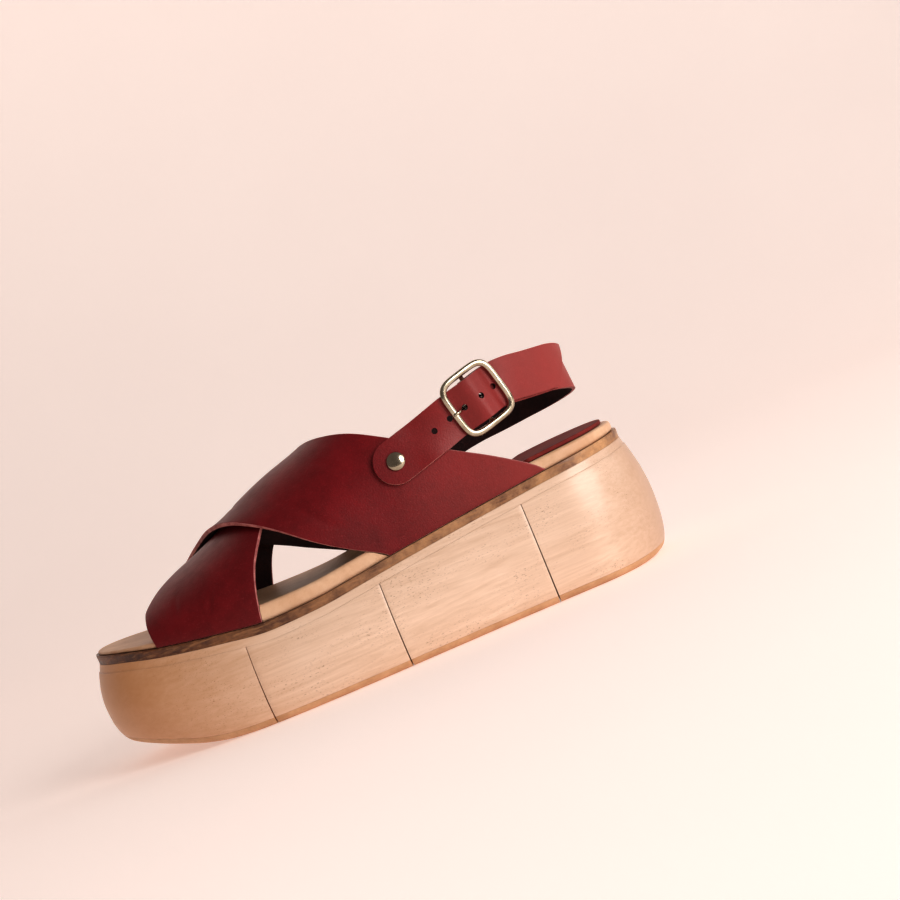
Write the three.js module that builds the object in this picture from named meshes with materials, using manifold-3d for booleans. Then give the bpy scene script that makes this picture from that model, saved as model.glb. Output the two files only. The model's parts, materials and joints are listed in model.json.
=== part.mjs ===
// Platform sandal, left shoe: two crossed leather straps and a buckled sling on a sawn wooden platform.
// Millimetres. +X points to the toe, +Y to the outer side of the foot, +Z up, and the sole stands on z = 0.
// Stations run along the sole from the welt's toe tip (0) to its heel tip (1), as shares of soleLength.
import * as THREE from "three";
import { mergeVertices } from "three/addons/utils/BufferGeometryUtils.js";
import Module from "manifold-3d";

const wasm = await Module();
wasm.setup();

// Driving dimensions of the last and sole
const soleLength = 252;
const ballWidth = 95;
const heelHeight = 58;
const instepHeight = 102.5;
const sideBulge = 5;
const gap = 0.3;

// Thicknesses of the layers
const outsoleThickness = 3;
const weltThickness = 3.8;
const strapThickness = 2;
const padThickness = 1.6;
const tabThickness = 1.8;
const slingThickness = 1.6;

// Sole details
const kerfTopWidth = 0.5;
const kerfFootWidth = 1.1;
const kerfBridge = 3.4;
const topBandHeight = 3.6;
const ledgeDepth = 0.8;
const toeSpring = 14;
const heelBevel = 1.4;
const weltRim = 0.8;
const footbedInset = 1.3;
const lipHeight = 6.6;
const lipWidth = 3;
const dishDepth = 3;
const padInset = 5;

// Sling, buckle and rivets
const slingWidth = 19.6;
const buckleLength = 27;
const buckleWidth = 28.5;
const buckleWire = 3;
const buckleDepth = 2.2;
const barRadius = 1;
const barDrop = 2.2;
const prongRadius = 0.7;
const holeRadius = 1.25;
const holePitch = 8.4;
const rivetRadius = 4;
const rivetDome = 1.5;
const shankRadius = 1.2;
const washerRadius = 3.2;
const washerHeight = 0.8;

// How finely curved forms are cut
const stationCount = 32;
const aroundCount = 28;
const acrossCount = 6;
const bandCount = 4;
const drillSides = 8;

// Half outline of the welt seen from above: centre line and full width, as shares of ballWidth.
const planRows = [
  { along: 0.0, centre: -0.07, width: 0.9 },
  { along: 0.14, centre: -0.042, width: 0.95 },
  { along: 0.3, centre: 0.0, width: 1.0 },
  { along: 0.45, centre: 0.021, width: 0.935 },
  { along: 0.6, centre: 0.024, width: 0.83 },
  { along: 0.75, centre: 0.01, width: 0.768 },
  { along: 0.88, centre: 0.0, width: 0.747 },
  { along: 1.0, centre: 0.0, width: 0.735 },
];
const toeRound = { reach: 0.26, power: 2.2 };
const heelRound = { reach: 0.14, power: 2.1 };

// Top of the welt, as shares of heelHeight, and lip and dish of the footbed, as shares of their named sizes.
const topRows = [
  { along: 0.0, height: 0.912, lip: 0.2, dish: 0.08 },
  { along: 0.06, height: 0.878, lip: 0.22, dish: 0.1 },
  { along: 0.13, height: 0.824, lip: 0.4, dish: 0.2 },
  { along: 0.24, height: 0.758, lip: 0.85, dish: 0.6 },
  { along: 0.33, height: 0.715, lip: 1.06, dish: 0.9 },
  { along: 0.41, height: 0.727, lip: 1.0, dish: 1.0 },
  { along: 0.49, height: 0.765, lip: 0.98, dish: 1.0 },
  { along: 0.56, height: 0.803, lip: 0.98, dish: 1.0 },
  { along: 0.65, height: 0.847, lip: 0.96, dish: 0.9 },
  { along: 0.75, height: 0.893, lip: 0.9, dish: 0.7 },
  { along: 0.85, height: 0.938, lip: 0.84, dish: 0.5 },
  { along: 0.95, height: 0.978, lip: 0.72, dish: 0.4 },
  { along: 1.0, height: 1.0, lip: 0.64, dish: 0.4 },
];

// Underside of the outsole: lift off the floor, as shares of toeSpring (towards the toe) and of heelBevel.
const toeRows = [
  { along: -0.03, lift: 1.0 },
  { along: 0.02, lift: 0.8 },
  { along: 0.1, lift: 0.42 },
  { along: 0.15, lift: 0.18 },
  { along: 0.2, lift: 0.04 },
  { along: 0.245, lift: 0.0 },
];
const heelStart = 0.92;

// Side of the wood and outsole from the floor edge to the welt: bulge beyond the welt, as shares of sideBulge.
const sideRows = [
  { up: 0.0, bulge: -0.4 },
  { up: 0.025, bulge: 0.12 },
  { up: 0.07, bulge: 0.42 },
  { up: 0.15, bulge: 0.7 },
  { up: 0.3, bulge: 0.93 },
  { up: 0.48, bulge: 1.0 },
  { up: 0.66, bulge: 0.86 },
  { up: 0.82, bulge: 0.56 },
  { up: 1.0, bulge: 0.1 },
];

// Saw kerfs across the platform
const kerfStations = [0.279, 0.523, 0.792];

// Crest of the last under the straps, as shares of instepHeight.
const crestRows = [
  { along: 0.1, height: 0.59 },
  { along: 0.13, height: 0.645 },
  { along: 0.165, height: 0.683 },
  { along: 0.22, height: 0.725 },
  { along: 0.29, height: 0.795 },
  { along: 0.345, height: 0.862 },
  { along: 0.4, height: 0.915 },
  { along: 0.475, height: 0.973 },
  { along: 0.6, height: 1.12 },
  { along: 0.75, height: 1.3 },
  { along: 0.9, height: 1.45 },
];
const sectionPower = 2.3;
const crestShift = 4;

// Edges of the two straps: around runs over the foot from the outer groove (0) to the inner groove (1),
// front and rear are stations along the sole.
const underStrapRows = [
  { around: 0.0, front: 0.135, rear: 0.319 },
  { around: 0.07, front: 0.131, rear: 0.328 },
  { around: 0.14, front: 0.129, rear: 0.341 },
  { around: 0.22, front: 0.13, rear: 0.367 },
  { around: 0.33, front: 0.151, rear: 0.405 },
  { around: 0.42, front: 0.186, rear: 0.44 },
  { around: 0.5, front: 0.218, rear: 0.474 },
  { around: 0.6, front: 0.25, rear: 0.507 },
  { around: 0.7, front: 0.282, rear: 0.546 },
  { around: 0.8, front: 0.32, rear: 0.6 },
  { around: 0.9, front: 0.39, rear: 0.69 },
  { around: 1.0, front: 0.5, rear: 0.825 },
];
const topStrapRows = [
  { around: 0.0, front: 0.556, rear: 0.854 },
  { around: 0.04, front: 0.505, rear: 0.79 },
  { around: 0.1, front: 0.452, rear: 0.71 },
  { around: 0.2, front: 0.389, rear: 0.624 },
  { around: 0.28, front: 0.345, rear: 0.573 },
  { around: 0.38, front: 0.302, rear: 0.52 },
  { around: 0.5, front: 0.258, rear: 0.474 },
  { around: 0.6, front: 0.215, rear: 0.443 },
  { around: 0.7, front: 0.178, rear: 0.41 },
  { around: 0.8, front: 0.148, rear: 0.369 },
  { around: 0.9, front: 0.13, rear: 0.33 },
  { around: 1.0, front: 0.127, rear: 0.309 },
];

// How far the upper strap has risen onto the lower one, and how its front edge stands off it, as shares.
const layRows = [
  { around: 0.0, rise: 0.0, stand: 0.0 },
  { around: 0.08, rise: 0.25, stand: 0.0 },
  { around: 0.2, rise: 0.84, stand: 0.35 },
  { around: 0.32, rise: 0.84, stand: 1.0 },
  { around: 0.45, rise: 0.84, stand: 0.7 },
  { around: 0.6, rise: 0.84, stand: 0.35 },
  { around: 0.78, rise: 0.84, stand: 0.1 },
  { around: 0.92, rise: 0.25, stand: 0.0 },
  { around: 1.0, rise: 0.0, stand: 0.0 },
];
const edgeStand = 2.2;

// Smooth value of one column of a table at x, through every row.
function tableAt(rows, key, column, x) {
  const last = rows.length - 1;
  if (x <= rows[0][key]) return rows[0][column];
  if (x >= rows[last][key]) return rows[last][column];
  let i = 0;
  while (x > rows[i + 1][key]) i += 1;
  const slope = (a, b) => (rows[b][column] - rows[a][column]) / (rows[b][key] - rows[a][key]);
  const tangent = (k) => {
    if (k === 0) return slope(0, 1);
    if (k === last) return slope(last - 1, last);
    const before = slope(k - 1, k);
    const after = slope(k, k + 1);
    return before * after <= 0 ? 0 : (2 * before * after) / (before + after);
  };
  const span = rows[i + 1][key] - rows[i][key];
  const t = (x - rows[i][key]) / span;
  const t2 = t * t;
  const t3 = t2 * t;
  return (
    rows[i][column] * (2 * t3 - 3 * t2 + 1) +
    rows[i + 1][column] * (3 * t2 - 2 * t3) +
    tangent(i) * span * (t3 - 2 * t2 + t) +
    tangent(i + 1) * span * (t3 - t2)
  );
}

// Share of the full width left at a distance from a rounded tip.
function roundOff(distance, round) {
  const u = Math.min(Math.max(distance / round.reach, 0), 1);
  return (1 - (1 - u) ** round.power) ** (1 / round.power);
}

const stationOf = (x) => -x / soleLength;
const xOf = (station) => -station * soleLength;

function halfWidth(station) {
  const full = ballWidth * tableAt(planRows, "along", "width", station);
  return (full / 2) * roundOff(station, toeRound) * roundOff(1 - station, heelRound);
}

const centreLine = (station) => ballWidth * tableAt(planRows, "along", "centre", station);
const weltTop = (station) => heelHeight * tableAt(topRows, "along", "height", station);
const woodTop = (station) => weltTop(station) - weltThickness - gap;
const lipTop = (station) => lipHeight * tableAt(topRows, "along", "lip", station);
const dish = (station) => dishDepth * tableAt(topRows, "along", "dish", station);

function floorLift(station) {
  if (station > heelStart) return heelBevel * ((station - heelStart) / (1 - heelStart)) ** 2;
  return toeSpring * tableAt(toeRows, "along", "lift", station);
}

// Bulge of the platform's side at a height z, stepped in above the ledge.
function sideOutset(station, z) {
  const low = floorLift(station);
  const high = woodTop(station);
  const up = (z - low) / (high - low);
  const step = z > high - topBandHeight ? ledgeDepth : 0;
  return sideBulge * tableAt(sideRows, "up", "bulge", up) - step;
}

// The outline as a closed ring: toe tip, outer side, heel tip, inner side.
const ringSize = 2 * stationCount;
const outline = [];
for (let k = 0; k < ringSize; k += 1) {
  const i = k <= stationCount ? k : ringSize - k;
  const side = k <= stationCount ? 1 : -1;
  const station = (1 - Math.cos((Math.PI * i) / stationCount)) / 2;
  const y = centreLine(station) + side * halfWidth(station);
  outline.push({ station, x: xOf(station), y });
}
outline.forEach((point, k) => {
  const before = outline[(k + ringSize - 1) % ringSize];
  const after = outline[(k + 1) % ringSize];
  const length = Math.hypot(after.x - before.x, after.y - before.y);
  point.nx = -(after.y - before.y) / length;
  point.ny = (after.x - before.x) / length;
  if (point.nx * (point.x - xOf(0.5)) + point.ny * (point.y - centreLine(point.station)) < 0) {
    point.nx = -point.nx;
    point.ny = -point.ny;
  }
});

// A ring of the outline set out by outset, drawn in towards the spine by the share inward, at height z(station, x, y).
const spineShare = 0.72;
function ring(outset, inward, height) {
  return outline.map((p) => {
    const edgeX = p.x + p.nx * outset;
    const edgeY = p.y + p.ny * outset;
    const middle = xOf(0.5);
    const spineX = middle + (p.x - middle) * spineShare;
    const spineY = centreLine(stationOf(spineX));
    const x = spineX + (edgeX - spineX) * (1 - inward);
    const y = spineY + (edgeY - spineY) * (1 - inward);
    return [x, y, height(stationOf(x), x, y)];
  });
}

// A level face as rings from its edge in to the spine, where the last ring lies folded flat.
const faceSteps = [0.45, 1];
const face = (outset, height) => faceSteps.map((inward) => ring(outset, inward, height));

// One closed body through rings of equal size; the first and last rings lie folded on the spine. Its triangles
// lean the same way on a face that closes and on the face that opens the body above, so the two stay parallel.
function loft(rings) {
  const size = rings[0].length;
  const positions = rings.flat(2);
  const index = [];
  for (let r = 0; r + 1 < rings.length; r += 1) {
    for (let k = 0; k < size; k += 1) {
      const a = r * size + k;
      const b = r * size + ((k + 1) % size);
      if (r < rings.length / 2) index.push(a, a + size, b, b, a + size, b + size);
      else index.push(a, a + size, b + size, a, b + size, b);
    }
  }
  return solidFrom(positions, index);
}

// A manifold solid from positions and triangles, turned to face outwards.
function solidFrom(positions, index) {
  const geometry = new THREE.BufferGeometry();
  geometry.setAttribute("position", new THREE.Float32BufferAttribute(positions, 3));
  geometry.setIndex(index);
  return solidOf(geometry);
}

function solidOf(geometry) {
  const bare = geometry.clone();
  bare.deleteAttribute("normal");
  bare.deleteAttribute("uv");
  const merged = mergeVertices(bare, 1e-4);
  const vertProperties = merged.attributes.position.array;
  const corners = [...merged.index.array];
  const triVerts = [];
  for (let i = 0; i < corners.length; i += 3) {
    const [a, b, c] = corners.slice(i, i + 3);
    if (a !== b && b !== c && c !== a) triVerts.push(a, b, c);
  }
  const make = (list) => new wasm.Manifold(
    new wasm.Mesh({ numProp: 3, vertProperties, triVerts: new Uint32Array(list) }),
  );
  const solid = make(triVerts);
  if (solid.volume() > 0) return solid;
  for (let i = 0; i < triVerts.length; i += 3) {
    [triVerts[i + 1], triVerts[i + 2]] = [triVerts[i + 2], triVerts[i + 1]];
  }
  return make(triVerts);
}

function geometryOf(solid) {
  const mesh = solid.getMesh();
  const geometry = new THREE.BufferGeometry();
  geometry.setAttribute("position", new THREE.BufferAttribute(new Float32Array(mesh.vertProperties), 3));
  geometry.setIndex([...mesh.triVerts]);
  geometry.computeVertexNormals();
  return geometry;
}

// Sole
function platformBlank() {
  const low = (s) => floorLift(s) + outsoleThickness + gap;
  const at = (share) => (s) => low(s) + share * (woodTop(s) - topBandHeight - low(s));
  const side = (height) => outline.map((p) => {
    const z = height(p.station);
    const outset = sideOutset(p.station, z);
    const x = p.x + p.nx * outset;
    const s = stationOf(x);
    return [x, p.y + p.ny * outset, height(s)];
  });
  const shares = [0, 0.12, 0.32, 0.54, 0.78];
  const rings = face(0, low).reverse();
  for (const share of shares) rings.push(side(at(share)));
  rings.push(side((s) => woodTop(s) - topBandHeight));
  rings.push(side((s) => woodTop(s) - topBandHeight + ledgeDepth / 4));
  rings.push(side(woodTop));
  rings.push(...face(0, woodTop));
  return loft(rings);
}

function outsoleBlank() {
  const top = (s) => floorLift(s) + outsoleThickness;
  const levels = [0, 0.4, 1];
  const rings = face(0, floorLift).reverse();
  for (const level of levels) {
    rings.push(outline.map((p) => {
      const z = floorLift(p.station) + level * outsoleThickness;
      const outset = sideOutset(p.station, z);
      const x = p.x + p.nx * outset;
      return [x, p.y + p.ny * outset, floorLift(stationOf(x)) + level * outsoleThickness];
    }));
  }
  rings.push(...face(0, top));
  return loft(rings);
}

function kerfCutter(station) {
  const top = woodTop(station) - kerfBridge;
  const shape = new THREE.Shape([
    new THREE.Vector2(-kerfFootWidth / 2, -gap),
    new THREE.Vector2(kerfFootWidth / 2, -gap),
    new THREE.Vector2(kerfTopWidth / 2, top),
    new THREE.Vector2(-kerfTopWidth / 2, top),
  ]);
  const depth = 3 * ballWidth;
  const cutter = new THREE.ExtrudeGeometry(shape, { depth, bevelEnabled: false });
  cutter.rotateX(Math.PI / 2);
  cutter.translate(xOf(station), depth / 2, 0);
  return solidOf(cutter);
}

function platformWood() {
  let wood = platformBlank();
  for (const station of kerfStations) wood = wood.subtract(kerfCutter(station));
  return wood;
}

function outsoleSegments() {
  let band = outsoleBlank();
  for (const station of kerfStations) band = band.subtract(kerfCutter(station));
  return band.decompose().sort((a, b) => b.boundingBox().max[0] - a.boundingBox().max[0]);
}

function welt() {
  const low = (s) => woodTop(s) + gap;
  const part = (share) => (s) => low(s) + share * weltThickness;
  return loft([
    ...face(-0.1 * weltRim, low).reverse(),
    ring(-0.1 * weltRim, 0, low),
    ring(0.2 * weltRim, 0, part(0.55)),
    ring(weltRim, 0, part(0.78)),
    ring(0, 0, weltTop),
    ...face(0, weltTop),
  ]);
}

// Top of the footbed at a share of the way in from the lip
const footbedBase = (s) => weltTop(s) + gap;
const inwardDish = [
  { inward: 0, depth: 0 },
  { inward: 0.15, depth: 0.35 },
  { inward: 0.35, depth: 0.75 },
  { inward: 0.65, depth: 1 },
  { inward: 1, depth: 1 },
];
const bedHeight = (depth) => (s) => footbedBase(s) + lipTop(s) - depth * dish(s);

function footbedBlank() {
  const part = (share) => (s) => footbedBase(s) + share * lipTop(s);
  const lipInset = footbedInset + lipWidth;
  const footInset = footbedInset + 0.35 * lipWidth;
  const rings = [
    ...face(-footInset, footbedBase).reverse(),
    ring(-footInset, 0, footbedBase),
    ring(-footbedInset, 0, part(0.35)),
    ring(-footbedInset - 0.05 * lipWidth, 0, part(0.62)),
    ring(-footbedInset - 0.3 * lipWidth, 0, part(0.88)),
  ];
  for (const row of inwardDish) rings.push(ring(-lipInset, row.inward, bedHeight(row.depth)));
  return loft(rings);
}

// Heel pad: the footbed's own top, cut off by a rounded front end
const padFront = 0.765;
function heelPad() {
  const lipInset = footbedInset + lipWidth;
  const shrink = padInset - lipInset;
  const layer = (inset, lift) => inwardDish.map((row) => (
    ring(-lipInset - inset * (1 - row.inward), row.inward, (s) => bedHeight(row.depth)(s) + lift)
  ));
  const under = layer(shrink, gap);
  const over = layer(shrink + 0.3, gap + padThickness);
  const blank = loft([...under.reverse(), ...over]);
  const radius = halfWidth(padFront);
  const depth = 2 * heelHeight;
  const half = new THREE.Shape();
  half.moveTo(xOf(padFront) - radius, radius);
  half.absarc(xOf(padFront) - radius, 0, radius, Math.PI / 2, -Math.PI / 2, true);
  half.lineTo(xOf(1.1), -radius);
  half.lineTo(xOf(1.1), radius);
  const cutter = new THREE.ExtrudeGeometry(half, { depth, bevelEnabled: false, curveSegments: 24 });
  return blank.intersect(solidOf(cutter));
}

// Last: the surface that the straps lie on
const grooveInset = weltRim + strapThickness;
function lastPoint(station, around) {
  const angle = Math.PI * around;
  const base = weltTop(station) + gap;
  const crest = instepHeight * tableAt(crestRows, "along", "height", station) - base;
  const rise = Math.max(Math.sin(angle), 0) ** (2 / sectionPower);
  const spread = Math.sign(Math.cos(angle)) * Math.abs(Math.cos(angle)) ** (2 / sectionPower);
  const half = halfWidth(station) - grooveInset;
  const y = centreLine(station) + half * spread - crestShift * rise * rise;
  return new THREE.Vector3(xOf(station), y, base + crest * rise);
}

function lastNormal(station, around) {
  const step = 0.004;
  const a = Math.min(Math.max(around, step), 1 - step);
  const along = lastPoint(station + step, a).sub(lastPoint(station - step, a));
  const over = lastPoint(station, a + step).sub(lastPoint(station, a - step));
  return along.cross(over).normalize();
}

const offLast = (station, around, distance) => (
  lastPoint(station, around).addScaledVector(lastNormal(station, around), distance)
);

// Share around the last at which its surface reaches a height
function aroundAt(station, height, inner) {
  let low = 0;
  let high = 0.5;
  for (let i = 0; i < 40; i += 1) {
    const middle = (low + high) / 2;
    if (lastPoint(station, middle).z < height) low = middle;
    else high = middle;
  }
  return inner ? 1 - low : low;
}

// A sheet between two surfaces of a grid: under(i, j) and over(i, j) give the corners.
function sheet(countI, countJ, under, over) {
  const positions = [];
  const index = [];
  const id = (layer, i, j) => layer * (countI + 1) * (countJ + 1) + i * (countJ + 1) + j;
  for (const side of [under, over]) {
    for (let i = 0; i <= countI; i += 1) {
      for (let j = 0; j <= countJ; j += 1) positions.push(...side(i / countI, j / countJ).toArray());
    }
  }
  const quad = (a, b, c, d) => index.push(a, b, c, a, c, d);
  for (let i = 0; i < countI; i += 1) {
    for (let j = 0; j < countJ; j += 1) {
      quad(id(0, i, j), id(0, i, j + 1), id(0, i + 1, j + 1), id(0, i + 1, j));
      quad(id(1, i, j), id(1, i + 1, j), id(1, i + 1, j + 1), id(1, i, j + 1));
    }
    quad(id(0, i, 0), id(0, i + 1, 0), id(1, i + 1, 0), id(1, i, 0));
    quad(id(0, i, countJ), id(1, i, countJ), id(1, i + 1, countJ), id(0, i + 1, countJ));
  }
  for (let j = 0; j < countJ; j += 1) {
    quad(id(0, 0, j), id(1, 0, j), id(1, 0, j + 1), id(0, 0, j + 1));
    quad(id(0, countI, j), id(0, countI, j + 1), id(1, countI, j + 1), id(1, countI, j));
  }
  return solidFrom(positions, index);
}

// A strap over the last between its front and rear edges, from one distance off the last to another.
function strap(rows, inner, outer, spare) {
  const place = (distance) => (i, j) => {
    const front = tableAt(rows, "around", "front", i) - spare / soleLength;
    const rear = tableAt(rows, "around", "rear", i) + spare / soleLength;
    return offLast(front + (rear - front) * j, i, distance(i, j));
  };
  return sheet(aroundCount, acrossCount, place(inner), place(outer));
}

const topLift = (i, j) => {
  const rise = strapThickness * tableAt(layRows, "around", "rise", i);
  const front = Math.max(1 - j * 3, 0) ** 2;
  return rise + edgeStand * tableAt(layRows, "around", "stand", i) * front;
};

function strapSolids(under, over, spare) {
  return [
    strap(underStrapRows, () => under, () => over, spare),
    strap(topStrapRows, (i, j) => topLift(i, j) + under, (i, j) => topLift(i, j) + over, spare),
  ];
}

// Rivets: stations along the sole and height of their centres, as shares of soleLength and instepHeight
const rivetRows = [
  { name: "rivet_lateral", along: 0.625, height: 0.792, inner: false },
  { name: "rivet_medial", along: 0.625, height: 0.758, inner: true },
];
const rivetSeats = rivetRows.map((row) => {
  const around = aroundAt(row.along, row.height * instepHeight, row.inner);
  const outside = (station, share) => (
    offLast(station, share, strapThickness + (row.inner ? 0 : topLift(share, 1)))
  );
  const step = 0.01;
  const along = outside(row.along + step, around).sub(outside(row.along - step, around));
  const over = outside(row.along, around + step).sub(outside(row.along, around - step));
  return { ...row, normal: along.cross(over).normalize(), seat: outside(row.along, around) };
});
const [outerRivet, innerRivet] = rivetSeats;

function upright(geometry, origin, normal) {
  const turn = new THREE.Quaternion().setFromUnitVectors(new THREE.Vector3(0, 0, 1), normal);
  geometry.applyQuaternion(turn);
  geometry.translate(origin.x, origin.y, origin.z);
  return geometry;
}

function drill(origin, normal, radius, depth) {
  const geometry = new THREE.CylinderGeometry(radius, radius, depth, drillSides);
  geometry.rotateX(Math.PI / 2);
  return solidOf(upright(geometry, origin, normal));
}

function upper() {
  const [under, over] = strapSolids(0, strapThickness, 0);
  let joined = under.add(over);
  for (const rivet of rivetSeats) {
    joined = joined.subtract(drill(rivet.seat, rivet.normal, shankRadius + gap, 6 * strapThickness));
  }
  return joined;
}

// Bands: a flat pattern of leather bent along a path. Each row of a path is a point with its across direction.
function bandPath(rows) {
  const points = new THREE.CatmullRomCurve3(rows.map((row) => row.point), false, "centripetal");
  const acrosses = new THREE.CatmullRomCurve3(rows.map((row) => row.across), false, "centripetal");
  points.arcLengthDivisions = 600;
  const length = points.getLength();
  const frame = (distance) => {
    const t = points.getUtoTmapping(Math.min(Math.max(distance / length, 0), 1));
    const along = points.getTangent(t);
    const normal = along.clone().cross(acrosses.getPoint(t)).normalize();
    const across = normal.clone().cross(along).normalize();
    return { point: points.getPoint(t), along, across, normal };
  };
  const lengths = points.getLengths();
  const distanceOf = (row) => lengths[Math.round((row / (rows.length - 1)) * points.arcLengthDivisions)];
  return { length, frame, distanceOf };
}

// A point of the flat pattern on the bent band: distance along, offset across, height off its middle.
function onBand(path, distance, offset, height) {
  const { point, across, normal } = path.frame(distance);
  return point.addScaledVector(across, offset).addScaledVector(normal, height);
}

// stops are distances along the path where the band is cut into steps
function band(path, thickness, start, end, stops) {
  const place = (height) => (i, j) => {
    const offset = -Math.cos(Math.PI * j) * (slingWidth / 2);
    const stop = stops[Math.round(i * (stops.length - 1))];
    const distance = Math.min(Math.max(stop, start(offset)), end(offset));
    return onBand(path, distance, offset, height);
  };
  return sheet(stops.length - 1, bandCount, place(-thickness / 2), place(thickness / 2));
}

const countUp = (count, first, step) => Array.from({ length: count }, (_, i) => first + i * step);
const roundEnd = (offset) => slingWidth / 2 - Math.sqrt(Math.max((slingWidth / 2) ** 2 - offset ** 2, 0));

// Buckle frame: centre, pitch up towards the heel and turn in towards the heel's back
const buckle = { along: 0.793, side: 0.364, height: 0.917, pitch: 14.3, turn: 14 };
const buckleAlong = new THREE.Vector3(-1, 0, 0)
  .applyAxisAngle(new THREE.Vector3(0, 1, 0), THREE.MathUtils.degToRad(buckle.pitch))
  .applyAxisAngle(new THREE.Vector3(0, 0, 1), THREE.MathUtils.degToRad(buckle.turn));
const buckleOut = buckleAlong.clone().cross(new THREE.Vector3(0, 0, 1)).normalize();
const buckleAcross = buckleOut.clone().cross(buckleAlong).normalize();
const buckleCentre = new THREE.Vector3(
  xOf(buckle.along), buckle.side * ballWidth, buckle.height * instepHeight,
);
const atBuckle = (along, across, out) => buckleCentre.clone()
  .addScaledVector(buckleAlong, along)
  .addScaledVector(buckleAcross, across)
  .addScaledVector(buckleOut, out);

// Layers at the buckle, measured outwards from the frame's middle
const barReach = buckleLength / 2 - buckleWire / 2;
const liftReach = barReach - 0.6 * buckleWire;
const layerPitch = tabThickness / 2 + gap + slingThickness / 2;
const tabUnder = -buckleDepth / 2 - gap - tabThickness / 2;
const foldRadius = barRadius + gap + slingThickness / 2;
const tabOver = foldRadius - barDrop + layerPitch;

function tabOut(along) {
  const share = Math.min(Math.abs(along) / liftReach, 1);
  return tabUnder + ((tabOver - tabUnder) * (1 + Math.cos(Math.PI * share))) / 2;
}

function slingOut(along) {
  const step = 0.01;
  const slope = (tabOut(along + step) - tabOut(along - step)) / (2 * step);
  return tabOut(along) - layerPitch * Math.hypot(1, slope);
}

// The sling's middle round the heel, from behind the buckle to the inner quarter: stations, sides and heights as
// shares of soleLength, ballWidth and instepHeight, and the lean of its upper edge towards the leg, in degrees.
const loopRows = [
  { along: 0.893, side: 0.208, height: 0.932, lean: 3 },
  { along: 0.926, side: 0.148, height: 0.925, lean: 6 },
  { along: 0.948, side: 0.078, height: 0.91, lean: 11 },
  { along: 0.957, side: 0.0, height: 0.893, lean: 13 },
  { along: 0.95, side: -0.082, height: 0.876, lean: 11 },
  { along: 0.927, side: -0.16, height: 0.859, lean: 7 },
  { along: 0.885, side: -0.235, height: 0.842, lean: 3 },
  { along: 0.825, side: -0.32, height: 0.824, lean: 3 },
  { along: 0.765, side: -0.372, height: 0.81, lean: 1 },
];

// Loop rows as points, each with its along, across and outward directions
const loopPoints = loopRows.map((row) => (
  new THREE.Vector3(xOf(row.along), row.side * ballWidth, row.height * instepHeight)
));
const loopFrames = loopRows.map((row, i) => {
  const before = i > 0 ? loopPoints[i - 1] : atBuckle(barReach, 0, slingOut(barReach));
  const after = i + 1 < loopRows.length ? loopPoints[i + 1] : innerRivet.seat;
  const along = after.clone().sub(before).normalize();
  const out = along.clone().cross(new THREE.Vector3(0, 0, 1)).normalize();
  out.applyAxisAngle(along, THREE.MathUtils.degToRad(row.lean));
  const across = out.clone().cross(along).normalize();
  return { point: loopPoints[i], along, across, out };
});

// Directions of a strap end on the quarter, pitched up from level
function rivetFrame(rivet, heading, pitch) {
  const level = new THREE.Vector3(heading, 0, Math.tan(THREE.MathUtils.degToRad(pitch)));
  const along = level.projectOnPlane(rivet.normal).normalize();
  const across = rivet.normal.clone().cross(along).normalize();
  return { along, across };
}

const onRivet = (rivet, frame, row, thickness) => ({
  point: rivet.seat.clone()
    .addScaledVector(frame.along, (row.reach * slingWidth) / 2)
    .addScaledVector(rivet.normal, gap + row.lift + thickness / 2),
  across: frame.across,
});

// The sling: its skived end lies inside, folds round the centre bar and runs round the heel to the inner quarter.
const foldTurns = [-90, -120, -150, -180, -210, -240, -270];
const slingFrame = rivetFrame(innerRivet, 1, -6);
const rearShares = [0.2, 0.4, 0.6, 0.8, 1, 1.2];
const slingSwivel = 7;
const slingSeatRows = [
  { reach: -1.8, lift: 1.6 },
  { reach: -0.9, lift: 0.5 },
  { reach: 0, lift: 0 },
  { reach: 1, lift: 0 },
];
const slingOuterRows = [
  ...rearShares.map((share) => {
    const swivel = THREE.MathUtils.degToRad(slingSwivel) * share * share;
    const drift = (-share * barReach * swivel) / 3;
    return {
      point: atBuckle(share * barReach, drift, slingOut(share * barReach)),
      across: buckleAcross.clone().applyAxisAngle(buckleOut, -swivel),
    };
  }),
  ...loopFrames,
  ...slingSeatRows.map((row) => onRivet(innerRivet, slingFrame, row, slingThickness)),
];
const slingOuterPath = bandPath(slingOuterRows);
const tailReaches = [21, 17, 13, 10, 7.5];
const slingRows = [
  ...tailReaches.map((reach) => {
    const { point, across, normal } = slingOuterPath.frame(reach);
    return { point: point.addScaledVector(normal, -slingThickness - gap), across };
  }),
  ...foldTurns.map((turn) => {
    const angle = THREE.MathUtils.degToRad(turn);
    return {
      point: atBuckle(foldRadius * Math.cos(angle), 0, foldRadius * Math.sin(angle) - barDrop),
      across: buckleAcross,
    };
  }),
  ...slingOuterRows,
];
const slingPath = bandPath(slingRows);
const foldFrom = tailReaches.length;
const foldEnd = foldFrom + foldTurns.length - 1;
const slingOverBar = slingPath.distanceOf(foldEnd);

// Distances past the bar at which the tab lies on the sling, close where both bend through the buckle
const layReaches = [...countUp(10, 0, 1.6), ...countUp(14, 17.5, 3)];

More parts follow.
